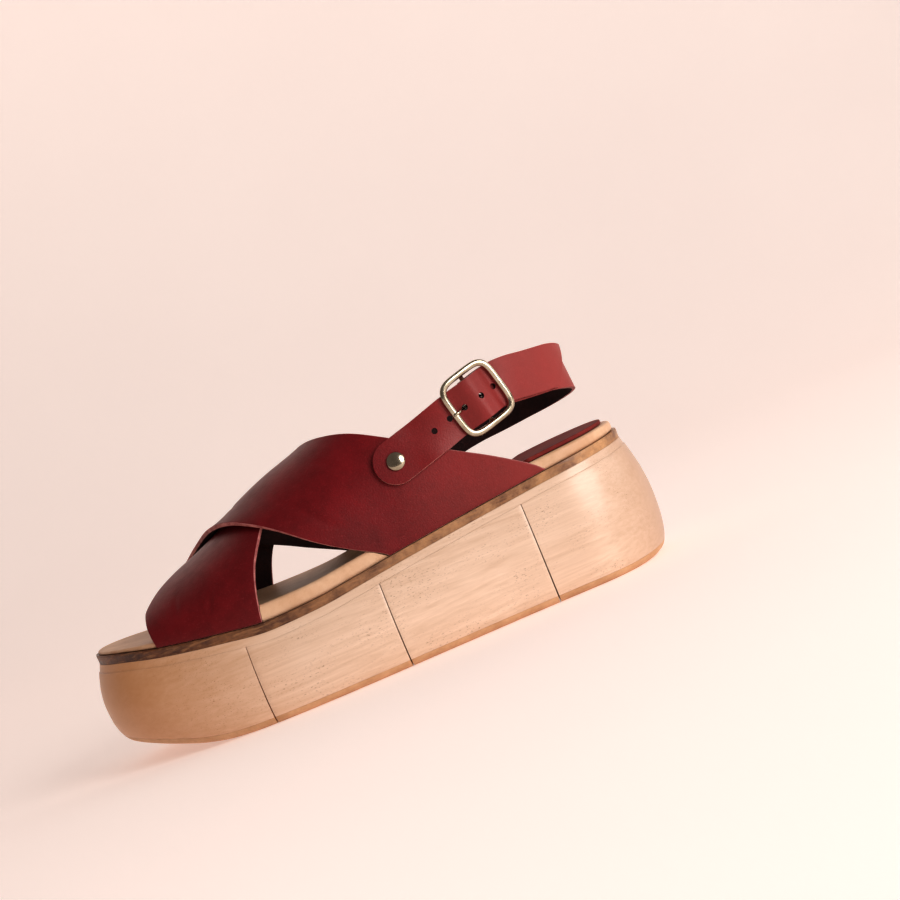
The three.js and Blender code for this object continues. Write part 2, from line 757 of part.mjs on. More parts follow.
function slingStrap() {
  const end = (offset) => slingPath.length - roundEnd(offset);
  const beyond = slingOverBar + layReaches[layReaches.length - 1];
  const stops = [
    ...countUp(foldEnd, 0, 1).map((row) => slingPath.distanceOf(row)),
    ...layReaches.map((reach) => slingOverBar + reach),
    ...countUp(18, beyond + 6, 6),
    slingPath.length,
  ].filter((stop) => stop <= slingPath.length);
  let sling = band(slingPath, slingThickness, () => 0, end, stops);
  const slot = new THREE.BoxGeometry(2 * foldRadius + 4, 2 * (prongRadius + gap), 4 * foldRadius);
  sling = sling.subtract(solidOf(placeAtBuckle(slot, 0, 0, -barDrop)));
  return sling.subtract(drill(innerRivet.seat, innerRivet.normal, shankRadius + gap, 6 * slingThickness));
}

// The tab: riveted on the outer quarter, under the front bar, over the centre bar, under the rear bar, then free
// along the outside of the sling to a slanted end.
const tabPitch = 16.5;
const tabFrame = rivetFrame(outerRivet, -1, tabPitch);
const tabBehindBar = 49;
const tabSlant = 31;
const tabSeatRows = [
  { reach: -1, lift: 0 },
  { reach: 0, lift: 0 },
  { reach: 0.9, lift: 0 },
  { reach: 1.8, lift: 0 },
];
const tabFrontShares = countUp(8, -1, 1 / 8);
const tabRows = [
  ...tabSeatRows.map((row) => onRivet(outerRivet, tabFrame, row, tabThickness)),
  ...tabFrontShares.map((share) => ({
    point: atBuckle(share * barReach, 0, tabOut(share * barReach)),
    across: buckleAcross,
  })),
  ...layReaches.map((reach) => {
    const { point, across, normal } = slingPath.frame(slingOverBar + reach);
    return { point: point.addScaledVector(normal, layerPitch), across };
  }),
];
const tabPath = bandPath(tabRows);
const tabBarDistance = tabPath.distanceOf(tabSeatRows.length + tabFrontShares.length);
const tabLength = tabBarDistance + tabBehindBar;
const prongOffset = 7.2;

function tabStrap() {
  const end = (offset) => tabLength + offset * Math.tan(THREE.MathUtils.degToRad(tabSlant));
  const stops = tabRows.map((_, row) => tabPath.distanceOf(row));
  let strapBody = band(tabPath, tabThickness, roundEnd, end, stops);
  for (const k of [-2, -1, 0, 1, 2]) {
    const { point, normal } = tabPath.frame(tabBarDistance - prongOffset + k * holePitch);
    strapBody = strapBody.subtract(drill(point, normal, holeRadius, 4 * tabThickness));
  }
  strapBody = strapBody.subtract(prongTongue(gap));
  return strapBody.subtract(drill(outerRivet.seat, outerRivet.normal, shankRadius + gap, 6 * tabThickness));
}

// Moves a form made at the origin, X along, Y across and Z out, to its place on the buckle
function placeAtBuckle(geometry, along, across, out) {
  const centre = atBuckle(along, across, out);
  const place = new THREE.Matrix4().makeBasis(buckleAlong, buckleAcross, buckleOut).setPosition(centre);
  return geometry.applyMatrix4(place);
}

function rod(from, to) {
  const along = to.clone().sub(from);
  const geometry = new THREE.CylinderGeometry(barRadius, barRadius, along.length(), 10);
  geometry.rotateX(Math.PI / 2);
  return solidOf(upright(geometry, from.clone().add(to).multiplyScalar(0.5), along.normalize()));
}

function tube(points, radius, steps) {
  const circle = new THREE.Shape();
  circle.absarc(0, 0, radius, 0, 2 * Math.PI, false);
  const extrudePath = new THREE.CatmullRomCurve3(points, false, "centripetal");
  return solidOf(new THREE.ExtrudeGeometry(circle, { steps, curveSegments: 7, bevelEnabled: false, extrudePath }));
}

function roundedRectangle(target, length, width, radius) {
  const x = length / 2;
  const y = width / 2;
  target.moveTo(x, y - radius);
  target.absarc(x - radius, y - radius, radius, 0, Math.PI / 2, false);
  target.absarc(-x + radius, y - radius, radius, Math.PI / 2, Math.PI, false);
  target.absarc(-x + radius, -y + radius, radius, Math.PI, 1.5 * Math.PI, false);
  target.absarc(x - radius, -y + radius, radius, 1.5 * Math.PI, 2 * Math.PI, false);
  target.closePath();
  return target;
}

const cornerRadius = 7;
const wireBevel = 0.55;
function buckleFrame() {
  const shape = roundedRectangle(
    new THREE.Shape(), buckleLength - 2 * wireBevel, buckleWidth - 2 * wireBevel, cornerRadius - wireBevel,
  );
  const inner = 2 * (buckleWire - wireBevel);
  const hole = roundedRectangle(
    new THREE.Path(), buckleLength - inner, buckleWidth - inner, cornerRadius - buckleWire + wireBevel,
  );
  shape.holes.push(hole);
  const depth = buckleDepth - 2 * wireBevel;
  const frame = new THREE.ExtrudeGeometry(shape, {
    depth, bevelThickness: wireBevel, bevelSize: wireBevel, bevelSegments: 1, curveSegments: 3,
  });
  frame.translate(0, 0, -depth / 2);
  const railMiddle = buckleWidth / 2 - buckleWire / 2;
  const barHalf = (railMiddle + slingWidth / 2 + gap) / 2;
  let joined = solidOf(placeAtBuckle(frame, 0, 0, 0));
  joined = joined.add(rod(atBuckle(0, -barHalf - barRadius / 2, -barDrop), atBuckle(0, barHalf + barRadius / 2, -barDrop)));
  for (const side of [-1, 1]) {
    joined = joined.add(rod(atBuckle(0, side * barHalf, -barDrop), atBuckle(0, side * railMiddle, 0)));
  }
  return joined;
}

// The prong: an eye round the centre bar and a tongue that comes out through the tab and rests on the front bar
const eyeRadius = barRadius + gap + prongRadius;
function prongTongue(spare) {
  const tip = buckleDepth / 2 + gap + prongRadius;
  return tube([
    atBuckle(-eyeRadius, 0, 0.3 * eyeRadius - barDrop),
    atBuckle(-0.75 * prongOffset, 0, tabOut(-prongOffset) - prongRadius / 4),
    atBuckle(-prongOffset - prongRadius, 0, tabOut(-prongOffset) + prongRadius),
    atBuckle(-barReach + 0.65 * buckleWire, 0, 0.7 * tip),
    atBuckle(-barReach + 0.2 * buckleWire, 0, tip),
    atBuckle(-barReach - 0.3 * buckleWire, 0, tip),
  ], prongRadius + spare, 9);
}

function prongEye() {
  const eye = new THREE.TorusGeometry(eyeRadius, prongRadius, 8, 14);
  eye.rotateX(Math.PI / 2);
  return solidOf(placeAtBuckle(eye, 0, 0, -barDrop));
}

function buckleProng() {
  return prongEye().add(prongTongue(0));
}

// A rivet: domed cap outside the strap end, shank through both leathers, washer inside the quarter
function rivetSolid(rivet, thickness) {
  const outside = 2 * gap + thickness;
  const inside = -strapThickness - gap;
  const profile = [
    [0, inside - washerHeight],
    [washerRadius, inside - washerHeight],
    [washerRadius, inside],
    [shankRadius, inside],
    [shankRadius, outside],
    [rivetRadius, outside],
    [rivetRadius, outside + 0.25 * rivetDome],
    [0.8 * rivetRadius, outside + 0.72 * rivetDome],
    [0.45 * rivetRadius, outside + 0.95 * rivetDome],
    [0, outside + rivetDome],
  ].map(([x, y]) => new THREE.Vector2(x, y));
  const lathe = new THREE.LatheGeometry(profile, 12);
  lathe.rotateX(Math.PI / 2);
  return solidOf(upright(lathe, rivet.seat, rivet.normal));
}

function footbed() {
  let bed = footbedBlank();
  for (const recess of strapSolids(-gap, 3 * strapThickness, 2 * gap)) {
    bed = bed.subtract(recess).subtract(recess.translate([0, 0, -gap]));
  }
  const pieces = bed.decompose().sort((a, b) => b.volume() - a.volume());
  return pieces[0];
}

const root = new THREE.Group();

function add(name, solid, colour, roughness, metalness = 0) {
  const material = new THREE.MeshStandardMaterial({ color: colour, roughness, metalness });
  const mesh = new THREE.Mesh(geometryOf(solid), material);
  mesh.name = name;
  root.add(mesh);
}

const wood = "#dcae82";
const burgundy = "#73191f";
const tan = "#e6bd92";
const darkLeather = "#4a2a1a";
const maroon = "#8c4a44";
const nickel = "#c8bfae";

add("platform_wood", platformWood(), wood, 0.45);
outsoleSegments().forEach((segment, i) => add(`outsole_${i + 1}`, segment, "#cf9a6c", 0.6));
add("welt", welt(), darkLeather, 0.7);
add("footbed", footbed(), tan, 0.6);
add("heel_pad", heelPad(), maroon, 0.65);
add("upper", upper(), burgundy, 0.5);
add("tab_strap", tabStrap(), burgundy, 0.5);
add("sling_strap", slingStrap(), burgundy, 0.5);
add("buckle_frame", buckleFrame(), nickel, 0.3, 1);
add("buckle_prong", buckleProng(), nickel, 0.3, 1);
add(outerRivet.name, rivetSolid(outerRivet, tabThickness), nickel, 0.3, 1);
add(innerRivet.name, rivetSolid(innerRivet, slingThickness), nickel, 0.3, 1);

const box = new THREE.Box3().setFromObject(root);
root.position.set(-(box.min.x + box.max.x) / 2, -(box.min.y + box.max.y) / 2, -box.min.z);

export default root;
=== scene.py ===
import json
import math

import bpy
import numpy as np
from mathutils import Matrix, Vector

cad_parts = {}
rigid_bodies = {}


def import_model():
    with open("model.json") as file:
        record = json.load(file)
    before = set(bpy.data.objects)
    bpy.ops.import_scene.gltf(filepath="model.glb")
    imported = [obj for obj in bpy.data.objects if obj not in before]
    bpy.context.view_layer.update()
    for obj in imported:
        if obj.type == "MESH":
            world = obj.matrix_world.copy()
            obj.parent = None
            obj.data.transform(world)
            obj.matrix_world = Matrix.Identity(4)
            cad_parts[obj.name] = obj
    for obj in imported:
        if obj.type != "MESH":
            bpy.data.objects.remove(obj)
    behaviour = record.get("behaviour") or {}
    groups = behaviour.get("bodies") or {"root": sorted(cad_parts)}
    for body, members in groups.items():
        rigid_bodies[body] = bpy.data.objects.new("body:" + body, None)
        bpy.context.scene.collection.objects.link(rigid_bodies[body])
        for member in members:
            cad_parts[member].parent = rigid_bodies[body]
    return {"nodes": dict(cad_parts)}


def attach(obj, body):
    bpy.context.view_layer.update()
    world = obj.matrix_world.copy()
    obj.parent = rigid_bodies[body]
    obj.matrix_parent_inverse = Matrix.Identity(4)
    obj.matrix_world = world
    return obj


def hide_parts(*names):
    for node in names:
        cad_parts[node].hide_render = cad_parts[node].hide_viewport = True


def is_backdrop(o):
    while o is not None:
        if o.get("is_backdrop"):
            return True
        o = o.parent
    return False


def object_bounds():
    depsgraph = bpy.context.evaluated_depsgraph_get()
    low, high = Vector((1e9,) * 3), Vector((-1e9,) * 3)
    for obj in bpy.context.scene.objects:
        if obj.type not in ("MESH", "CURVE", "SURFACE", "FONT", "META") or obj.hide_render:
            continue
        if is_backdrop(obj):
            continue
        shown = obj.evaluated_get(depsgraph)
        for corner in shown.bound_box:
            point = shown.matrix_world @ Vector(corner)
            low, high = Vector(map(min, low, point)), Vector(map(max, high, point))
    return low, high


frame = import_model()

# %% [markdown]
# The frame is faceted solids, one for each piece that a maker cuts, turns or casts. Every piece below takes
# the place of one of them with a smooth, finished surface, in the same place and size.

cad_low, cad_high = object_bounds()
bpy.ops.object.select_all(action="DESELECT")
print("solids:", ", ".join(sorted(frame["nodes"])))

# %% [markdown]
# The sandal is drawn as a shoemaker draws it: along the sole in stations, from the toe tip of the welt (0)
# to its heel tip (1). Each table gives widths or heights at a few stations, as shares of the driving sizes,
# and a smooth curve that never overshoots gives every size between them.

# %% Driving sizes in millimetres
SOLE_LENGTH, BALL_WIDTH, HEEL_HEIGHT, INSTEP_HEIGHT = 252, 95, 58, 102.5
GAP, SEAM = 0.3, 0.06
OUTSOLE, WELT, STRAP, PAD = 3, 3.8, 2, 1.6
TAB, SLING, BAND_WIDTH = 1.8, 1.6, 19.6
SIDE_BULGE, TOE_SPRING, HEEL_BEVEL, HEEL_START = 5, 14, 1.4, 0.92
TOP_BAND, LEDGE = 3.6, 0.4
LIP_HEIGHT, LIP_WIDTH, DISH_DEPTH = 6.6, 3, 3
FOOTBED_INSET, PAD_INSET, WELT_RIM = 1.3, 5, 0.8
ORIGIN = np.array([125.995, 0.188, 0.0])
MM = 0.001
MERGE_DISTANCE = 1e-6


def unit(vectors):
    return vectors / np.linalg.norm(vectors, axis=-1, keepdims=True)


def bend(t, start, end, leave, arrive):
    """The value at a share t of a smooth piece of curve, from its ends and its slopes there."""
    return (start * (2 * t**3 - 3 * t**2 + 1) + leave * (t**3 - 2 * t**2 + t)
            + end * (3 * t**2 - 2 * t**3) + arrive * (t**3 - t**2))


def curve(xs, ys):
    """A smooth curve through every row of a table, level at each high and low row."""
    xs, ys = np.array(xs, float), np.array(ys, float)
    slope = np.diff(ys) / np.diff(xs)
    before, after = slope[:-1], slope[1:]
    both = np.where(before * after > 0, before + after, 1)
    middle = np.where(before * after > 0, 2 * before * after / both, 0)
    tangent = np.concatenate([slope[:1], middle, slope[-1:]])

    def at(x):
        x = np.clip(x, xs[0], xs[-1])
        i = np.clip(np.searchsorted(xs, x, side="right") - 1, 0, len(xs) - 2)
        span = xs[i + 1] - xs[i]
        return bend((x - xs[i]) / span, ys[i], ys[i + 1], tangent[i] * span, tangent[i + 1] * span)

    return at


def table(columns, *rows):
    """Named curves over the first column of a table."""
    names = columns.split()
    values = list(zip(*rows))
    return {name: curve(values[0], column) for name, column in zip(names[1:], values[1:])}


# %% Tables of the last and the sole
PLAN = table(
    "along centre width",
    (0, -0.07, 0.9), (0.14, -0.042, 0.95), (0.3, 0, 1), (0.45, 0.021, 0.935), (0.6, 0.024, 0.83),
    (0.75, 0.01, 0.768), (0.88, 0, 0.747), (1, 0, 0.735),
)
TOP = table(
    "along height lip dish",
    (0, 0.912, 0.2, 0.08), (0.06, 0.878, 0.22, 0.1), (0.13, 0.824, 0.4, 0.2), (0.24, 0.758, 0.85, 0.6),
    (0.33, 0.715, 1.06, 0.9), (0.41, 0.727, 1, 1), (0.49, 0.765, 0.98, 1), (0.56, 0.803, 0.98, 1),
    (0.65, 0.847, 0.96, 0.9), (0.75, 0.893, 0.9, 0.7), (0.85, 0.938, 0.84, 0.5), (0.95, 0.978, 0.72, 0.4),
    (1, 1, 0.64, 0.4),
)
TOE = table(
    "along lift",
    (-0.03, 1), (0.02, 0.8), (0.1, 0.42), (0.15, 0.18), (0.2, 0.04), (0.245, 0),
)
SIDE = table(
    "up bulge",
    (0, -0.4), (0.025, 0.12), (0.07, 0.42), (0.15, 0.7), (0.3, 0.93), (0.48, 1), (0.66, 0.86), (0.82, 0.56),
    (1, 0.1),
)
CREST = table(
    "along height",
    (0.1, 0.59), (0.13, 0.645), (0.165, 0.683), (0.22, 0.725), (0.29, 0.795), (0.345, 0.862), (0.4, 0.915),
    (0.475, 0.973), (0.6, 1.12), (0.75, 1.3), (0.9, 1.45),
)
KERFS = (0.279, 0.523, 0.792)
KERF_FOOT, KERF_TOP, KERF_BRIDGE = 0.6, 0.3, 3.4
TOE_ROUND, HEEL_ROUND = (0.26, 2.2), (0.14, 2.1)
SECTION_POWER, CREST_SHIFT = 2.3, 4


def squared(value, power):
    """A cosine or sine turned into that of a squarer oval."""
    return np.sign(value) * np.abs(value) ** (2 / power)


def round_off(distance, shape):
    reach, power = shape
    u = np.clip(distance / reach, 0, 1)
    return (1 - (1 - u) ** power) ** (1 / power)


def half_width(s):
    return BALL_WIDTH * PLAN["width"](s) / 2 * round_off(s, TOE_ROUND) * round_off(1 - s, HEEL_ROUND)


def centre_line(s):
    return BALL_WIDTH * PLAN["centre"](s)


def welt_top(s):
    return HEEL_HEIGHT * TOP["height"](s)


def wood_top(s):
    return welt_top(s) - WELT - GAP


def floor_lift(s):
    heel = HEEL_BEVEL * (np.maximum(s - HEEL_START, 0) / (1 - HEEL_START)) ** 2
    return np.where(s > HEEL_START, heel, TOE_SPRING * TOE["lift"](s))


def side_outset(s, z):
    low, high = floor_lift(s), wood_top(s)
    step = np.where(z > high - TOP_BAND, LEDGE, 0)
    return SIDE_BULGE * SIDE["bulge"]((z - low) / (high - low)) - step


# %% [markdown]
# Every large piece starts as a grid primitive. Wrapped round and closed, a grid is the skin of a turned or
# moulded body; laid over the last, it is a hide of leather. Its seam and folded ends are merged, and its own
# UV map still runs along and around it.

# %% Helpers that place a grid
def edit(piece, action):
    """Runs an action in edit mode with all of the piece selected."""
    bpy.context.view_layer.objects.active = piece
    bpy.ops.object.mode_set(mode="EDIT")
    bpy.ops.mesh.select_all(action="SELECT")
    action()
    bpy.ops.object.mode_set(mode="OBJECT")


def grid(name, rows, columns, place):
    """A grid primitive whose corners go to place(row, column), in millimetres of the sole."""
    bpy.ops.object.select_all(action="DESELECT")
    bpy.ops.mesh.primitive_grid_add(x_subdivisions=columns, y_subdivisions=rows, size=1)
    piece = bpy.context.object
    piece.name = piece.data.name = name
    flat = np.empty(3 * len(piece.data.vertices))
    piece.data.vertices.foreach_get("co", flat)
    flat = flat.reshape(-1, 3) + 0.5
    column = np.rint(flat[:, 0] * columns).astype(int)
    row = np.rint(flat[:, 1] * rows).astype(int)
    points = (np.asarray(place(row, column), float) + ORIGIN) * MM
    piece.data.vertices.foreach_set("co", points.ravel())
    piece.data.update()
    return piece


def face_out(piece):
    edit(piece, lambda: bpy.ops.mesh.normals_make_consistent(inside=False))


def merge(piece):
    edit(piece, lambda: bpy.ops.mesh.remove_doubles(threshold=MERGE_DISTANCE))
    face_out(piece)
    return piece


def loft(name, rings):
    """A closed body through rings of equal size."""
    rings = np.array(rings)
    size = rings.shape[1]
    return merge(grid(name, len(rings) - 1, size, lambda row, column: rings[row, column % size]))


def only(piece):
    """Selects one piece and nothing else."""
    bpy.ops.object.select_all(action="DESELECT")
    piece.select_set(True)
    bpy.context.view_layer.objects.active = piece


def apply(piece, kind, **values):
    """Adds one modifier with its values and applies it."""
    modifier = piece.modifiers.new(kind.title(), kind)
    for key, value in values.items():
        setattr(modifier, key, value)
    only(piece)
    bpy.ops.object.modifier_apply(modifier=modifier.name)


def bevel(piece, width, segments, angle):
    """Rounds every edge sharper than an angle in degrees, by a width in millimetres."""
    apply(piece, "BEVEL", width=width * MM, segments=segments, limit_method="ANGLE",
          angle_limit=math.radians(angle))


def dress(piece, *materials):
    piece.data.materials.clear()
    for material in materials:
        piece.data.materials.append(material)


def smooth(piece, angle=35):
    only(piece)
    bpy.ops.object.shade_smooth_by_angle(angle=math.radians(angle))
    return piece


def cut(piece, tool, operation="DIFFERENCE"):
    """Cuts a piece with a tool, which is then thrown away."""
    apply(piece, "BOOLEAN", operation=operation, solver="EXACT", object=tool, material_mode="TRANSFER")
    bpy.data.objects.remove(tool)


def block(place):
    """A cube primitive whose corners, at -1 or 1 on each axis, go to place(corner), in millimetres."""
    bpy.ops.object.select_all(action="DESELECT")
    bpy.ops.mesh.primitive_cube_add(size=2)
    tool = bpy.context.object
    for corner in tool.data.vertices:
        corner.co = place(np.sign(corner.co)) * MM
    return tool


# %% The outline of the welt as a ring
STATIONS = 110
ring_index = np.arange(2 * STATIONS)
ring_station = (1 - np.cos(math.pi * ring_index / STATIONS)) / 2
ring_side = np.where(ring_index <= STATIONS, 1, -1)
ring_x = -ring_station * SOLE_LENGTH
ring_y = centre_line(ring_station) + ring_side * half_width(ring_station)
run_x = np.roll(ring_x, -1) - np.roll(ring_x, 1)
run_y = np.roll(ring_y, -1) - np.roll(ring_y, 1)
run = np.hypot(run_x, run_y)
out_x, out_y = run_y / run, -run_x / run
turn_out = np.sign(out_x * (ring_x + SOLE_LENGTH / 2) + out_y * (ring_y - centre_line(ring_station)))
out_x, out_y = out_x * turn_out, out_y * turn_out
SPINE_SHARE = 0.72


def ring(outset, inward, height):
    """The outline set out by a distance and drawn in towards the spine by a share."""
    middle = -SOLE_LENGTH / 2
    spine_x = middle + (ring_x - middle) * SPINE_SHARE
    spine_y = centre_line(-spine_x / SOLE_LENGTH)
    x = spine_x + (ring_x + out_x * outset - spine_x) * (1 - inward)
    y = spine_y + (ring_y + out_y * outset - spine_y) * (1 - inward)
    return np.stack([x, y, height(-x / SOLE_LENGTH)], axis=1)


FACE_STEPS = (0.02, 0.06, 0.15, 0.3, 0.5, 0.75, 1)


def face(outset, height):
    return [ring(outset, inward, height) for inward in FACE_STEPS]


def side(height):
    """A ring on the side of the platform."""
    z = height(ring_station)
    outset = side_outset(ring_station, z)
    x = ring_x + out_x * outset
    return np.stack([x, ring_y + out_y * outset, height(-x / SOLE_LENGTH)], axis=1)


# %% [markdown]
# The platform is one block of pale hardwood, sanded to a soft bulge and cut from below by three saw kerfs,
# so that it can flex a little. The block is lofted from its underside to its top, with a narrow ledge where
# the photo shows a fine light line all round. The kerfs are cut by a thin wedge, and a small bevel rounds
# the edges, as sanding does.

# %% Platform
EDGE_ROUND = 0.3


def wood_low(s):
    return floor_lift(s) + OUTSOLE + GAP


def wood_at(share):
    return lambda s: wood_low(s) + share * (wood_top(s) - TOP_BAND - wood_low(s))


rings = face(0, wood_low)[::-1]
rings += [side(wood_at(share)) for share in np.linspace(0, 1, 30)]
rings += [side(lambda s, lift=lift: wood_top(s) - TOP_BAND + lift) for lift in (0.12, 0.35, 1.2, 2.2, 3.1)]
rings += [side(lambda s: wood_top(s) - 1e-3)]
rings += [ring(-EDGE_ROUND, 0, wood_top)]
rings += face(-EDGE_ROUND, wood_top)
platform = loft("platform_block", rings)


def kerf(station):
    """The wedge that one pass of the saw takes away."""
    top = float(wood_top(np.array(station))) - KERF_BRIDGE

    def place(corner):
        width, z = (KERF_TOP, top) if corner[2] > 0 else (KERF_FOOT, -GAP)
        x = -station * SOLE_LENGTH + corner[0] * width / 2
        return np.array([x, corner[1] * 1.5 * BALL_WIDTH, z]) + ORIGIN

    return block(place)


for station in KERFS:
    cut(platform, kerf(station))
bevel(platform, 0.12, 2, 50)
smooth(platform)
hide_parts("platform_wood")
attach(platform, "root")
print("platform:", len(platform.data.polygons), "faces")

# %% [markdown]
# Under the wood lies a plain rubber sheet, cut through at each kerf, so it is in four plates. The sheet is
# lofted whole, cut by the same wedges, and then taken apart into its loose plates, which are named from the
# toe back.

# %% Outsole plates
SHEET_EDGE = 1.5


def sole_at(share):
    return lambda s: floor_lift(s) + share * (OUTSOLE + GAP - SEAM)


rings = face(-SHEET_EDGE, sole_at(0))[::-1]
rings += [side(sole_at(share)) for share in (0, 0.06, 0.15, 0.3, 0.5, 0.7, 0.85, 1)]
rings += face(-SHEET_EDGE, sole_at(1))
sheet = loft("outsole", rings)
for station in KERFS:
    cut(sheet, kerf(station))
edit(sheet, lambda: bpy.ops.mesh.separate(type="LOOSE"))
plates = sorted((o for o in bpy.data.objects if o.name.startswith("outsole") and o.data.users == 1
                 and o not in frame["nodes"].values()), key=lambda o: -max(v.co.x for v in o.data.vertices))
for number, plate in enumerate(plates, 1):
    plate.name = plate.data.name = f"outsole_plate_{number}"
    bevel(plate, 0.15, 2, 50)
    smooth(plate)
    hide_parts(f"outsole_{number}")
    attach(plate, "root")
print("outsole plates:", len(plates))

# %% [markdown]
# The welt is a strip of thick dark leather between wood and footbed. Its rim rolls out a little over the
# ledge, and its raw edge shows the fibres.

# %% Welt
WELT_ROLL, WELT_SHOULDER = 0.15, 0.4
WELT_EDGE = curve([0, 0.2, 0.4, 0.6, 0.78, 0.9, 1], [-0.2, -0.05, 0.15, 0.6, 1.0, 0.75, 0.1])


def welt_at(share):
    return lambda s: wood_top(s) + SEAM + share * (WELT + GAP - SEAM)


rings = face(-EDGE_ROUND, welt_at(0))[::-1]
rings += [ring(WELT_ROLL * WELT_EDGE(share), 0, welt_at(share)) for share in np.linspace(0, 1, 16)]
rings += [ring(-WELT_SHOULDER, 0, welt_at(1))]
rings += face(-WELT_SHOULDER, welt_at(1))
welt = loft("welt_strip", rings)
smooth(welt, 60)
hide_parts("welt")
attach(welt, "root")

# %% [markdown]
# The footbed is a shaped layer wrapped in tan leather. Its lip rolls over in a soft round and its top is
# dished for the foot. The places where straps go down beside it are cut out once the straps exist.

# %% Footbed
BED_IN = curve([0, 0.15, 0.3, 0.45, 0.6, 0.75, 0.9, 1], [1.3, 0.35, 0.0, 0.02, 0.14, 0.45, 1.4, LIP_WIDTH])
BED_UP = curve([0, 0.15, 0.3, 0.45, 0.6, 0.75, 0.9, 1], [0.0, 0.1, 0.28, 0.5, 0.7, 0.87, 0.98, 1.0])
BED_DISH = curve([0, 0.15, 0.35, 0.65, 1], [0, 0.35, 0.75, 1, 1])


def lip_top(s):
    return LIP_HEIGHT * TOP["lip"](s)


def bed_at(share):
    return lambda s: welt_top(s) + SEAM + share * (lip_top(s) + GAP - SEAM)


def bed_height(depth, lift=0.0):
    return lambda s: welt_top(s) + GAP + lip_top(s) - depth * DISH_DEPTH * TOP["dish"](s) + lift


LIP_INSET = FOOTBED_INSET + LIP_WIDTH
INWARD = (0.03, 0.07, 0.12, 0.18, 0.25, 0.35, 0.5, 0.7, 1)
rings = face(-FOOTBED_INSET - 1.3, bed_at(0))[::-1]
rings += [ring(-FOOTBED_INSET - BED_IN(t), 0, bed_at(BED_UP(t))) for t in np.linspace(0, 1, 18)]
rings += [ring(-LIP_INSET, t, bed_height(BED_DISH(t))) for t in INWARD]
footbed = loft("footbed_cover", rings)
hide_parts("footbed")
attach(footbed, "root")

# %% [markdown]
# On the heel lies a patch of maroon leather with a rounded front. It follows the dish of the footbed, so it
# is lofted from the same curves, and its front is cut by a plain round-ended block.

# %% Heel patch
PAD_FRONT = 0.765


def pad_rings(extra, lift):
    shrink = PAD_INSET - LIP_INSET + extra
    return [ring(-LIP_INSET - shrink * (1 - t), t, bed_height(BED_DISH(t), lift)) for t in (0, *INWARD)]


rings = pad_rings(0, GAP)[::-1] + pad_rings(0, GAP + 0.75 * PAD)[:1]
rings += pad_rings(0.12, GAP + 0.93 * PAD)[:1] + pad_rings(0.4, GAP + PAD)
patch = loft("heel_patch", rings)
radius = float(half_width(np.array(PAD_FRONT)))
sweep = np.linspace(math.pi / 2, -math.pi / 2, 49)
front_x = -PAD_FRONT * SOLE_LENGTH - radius + radius * np.cos(sweep)
front = np.stack([front_x, radius * np.sin(sweep)], axis=1)
back = np.array([[-1.1 * SOLE_LENGTH, -radius], [-1.1 * SOLE_LENGTH, radius]])
plan = np.concatenate([front, back])
centre = np.array([-0.9 * SOLE_LENGTH, 0])
block_rings = [
    np.column_stack([centre + (plan - centre) * share, np.full(len(plan), z)])
    for share, z in ((0, 20), (1, 20), (1, 90), (0, 90))
]
cut(patch, loft("patch_block", block_rings), "INTERSECT")
bevel(patch, 0.3, 3, 60)
smooth(patch, 50)
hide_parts("heel_pad")
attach(patch, "root")

# %% [markdown]
# The last is the wooden foot that a shoe is made on. The straps are cut flat, pulled over it and glued
# under the footbed's lip, so their shape is the last's. A point on it is named by its station and by how
# far round it lies, from the outer groove (0) over the instep to the inner groove (1).

# %% The last
GROOVE = WELT_RIM + STRAP


def last_point(s, around):
    angle = math.pi * around
    base = welt_top(s) + GAP
    crest = INSTEP_HEIGHT * CREST["height"](s) - base
    rise = np.maximum(np.sin(angle), 0) ** (2 / SECTION_POWER)
    spread = squared(np.cos(angle), SECTION_POWER)
    y = centre_line(s) + (half_width(s) - GROOVE) * spread - CREST_SHIFT * rise * rise
    return np.stack([-s * SOLE_LENGTH, y, base + crest * rise], axis=-1)


def last_normal(s, around):
    step = 0.004
    a = np.clip(around, step, 1 - step)
    along = last_point(s + step, a) - last_point(s - step, a)
    over = last_point(s, a + step) - last_point(s, a - step)
    return unit(np.cross(along, over))


def off_last(s, around, distance):
    return last_point(s, around) + last_normal(s, around) * np.asarray(distance)[..., None]


# %% Edges of the two straps and how the upper one lies on the lower
UNDER_EDGES = table(
    "around front rear",
    (0, 0.135, 0.319), (0.07, 0.131, 0.328), (0.14, 0.129, 0.341), (0.22, 0.13, 0.367),
    (0.33, 0.151, 0.405), (0.42, 0.186, 0.44), (0.5, 0.218, 0.474), (0.6, 0.25, 0.507), (0.7, 0.282, 0.546),
    (0.8, 0.32, 0.6), (0.9, 0.39, 0.69), (1, 0.5, 0.825),
)
TOP_EDGES = table(
    "around front rear",
    (0, 0.556, 0.854), (0.04, 0.505, 0.79), (0.1, 0.452, 0.71), (0.2, 0.389, 0.624), (0.28, 0.345, 0.573),
    (0.38, 0.302, 0.52), (0.5, 0.258, 0.474), (0.6, 0.215, 0.443), (0.7, 0.178, 0.41), (0.8, 0.148, 0.369),
    (0.9, 0.13, 0.33), (1, 0.127, 0.309),
)
LAY = table(
    "around rise stand",
    (0, 0, 0), (0.06, 0.15, 0), (0.2, 0.9, 0.35), (0.25, 1.03, 0.7), (0.32, 1.04, 1), (0.45, 1.04, 0.7),
    (0.6, 1.04, 0.35), (0.78, 1.04, 0.1), (0.85, 1, 0.05), (0.94, 0.25, 0), (1, 0, 0),
)
EDGE_STAND = 2.9


def top_lift(around, across):
    front = np.maximum(1 - across * 3, 0) ** 2
    return STRAP * LAY["rise"](around) + EDGE_STAND * LAY["stand"](around) * front


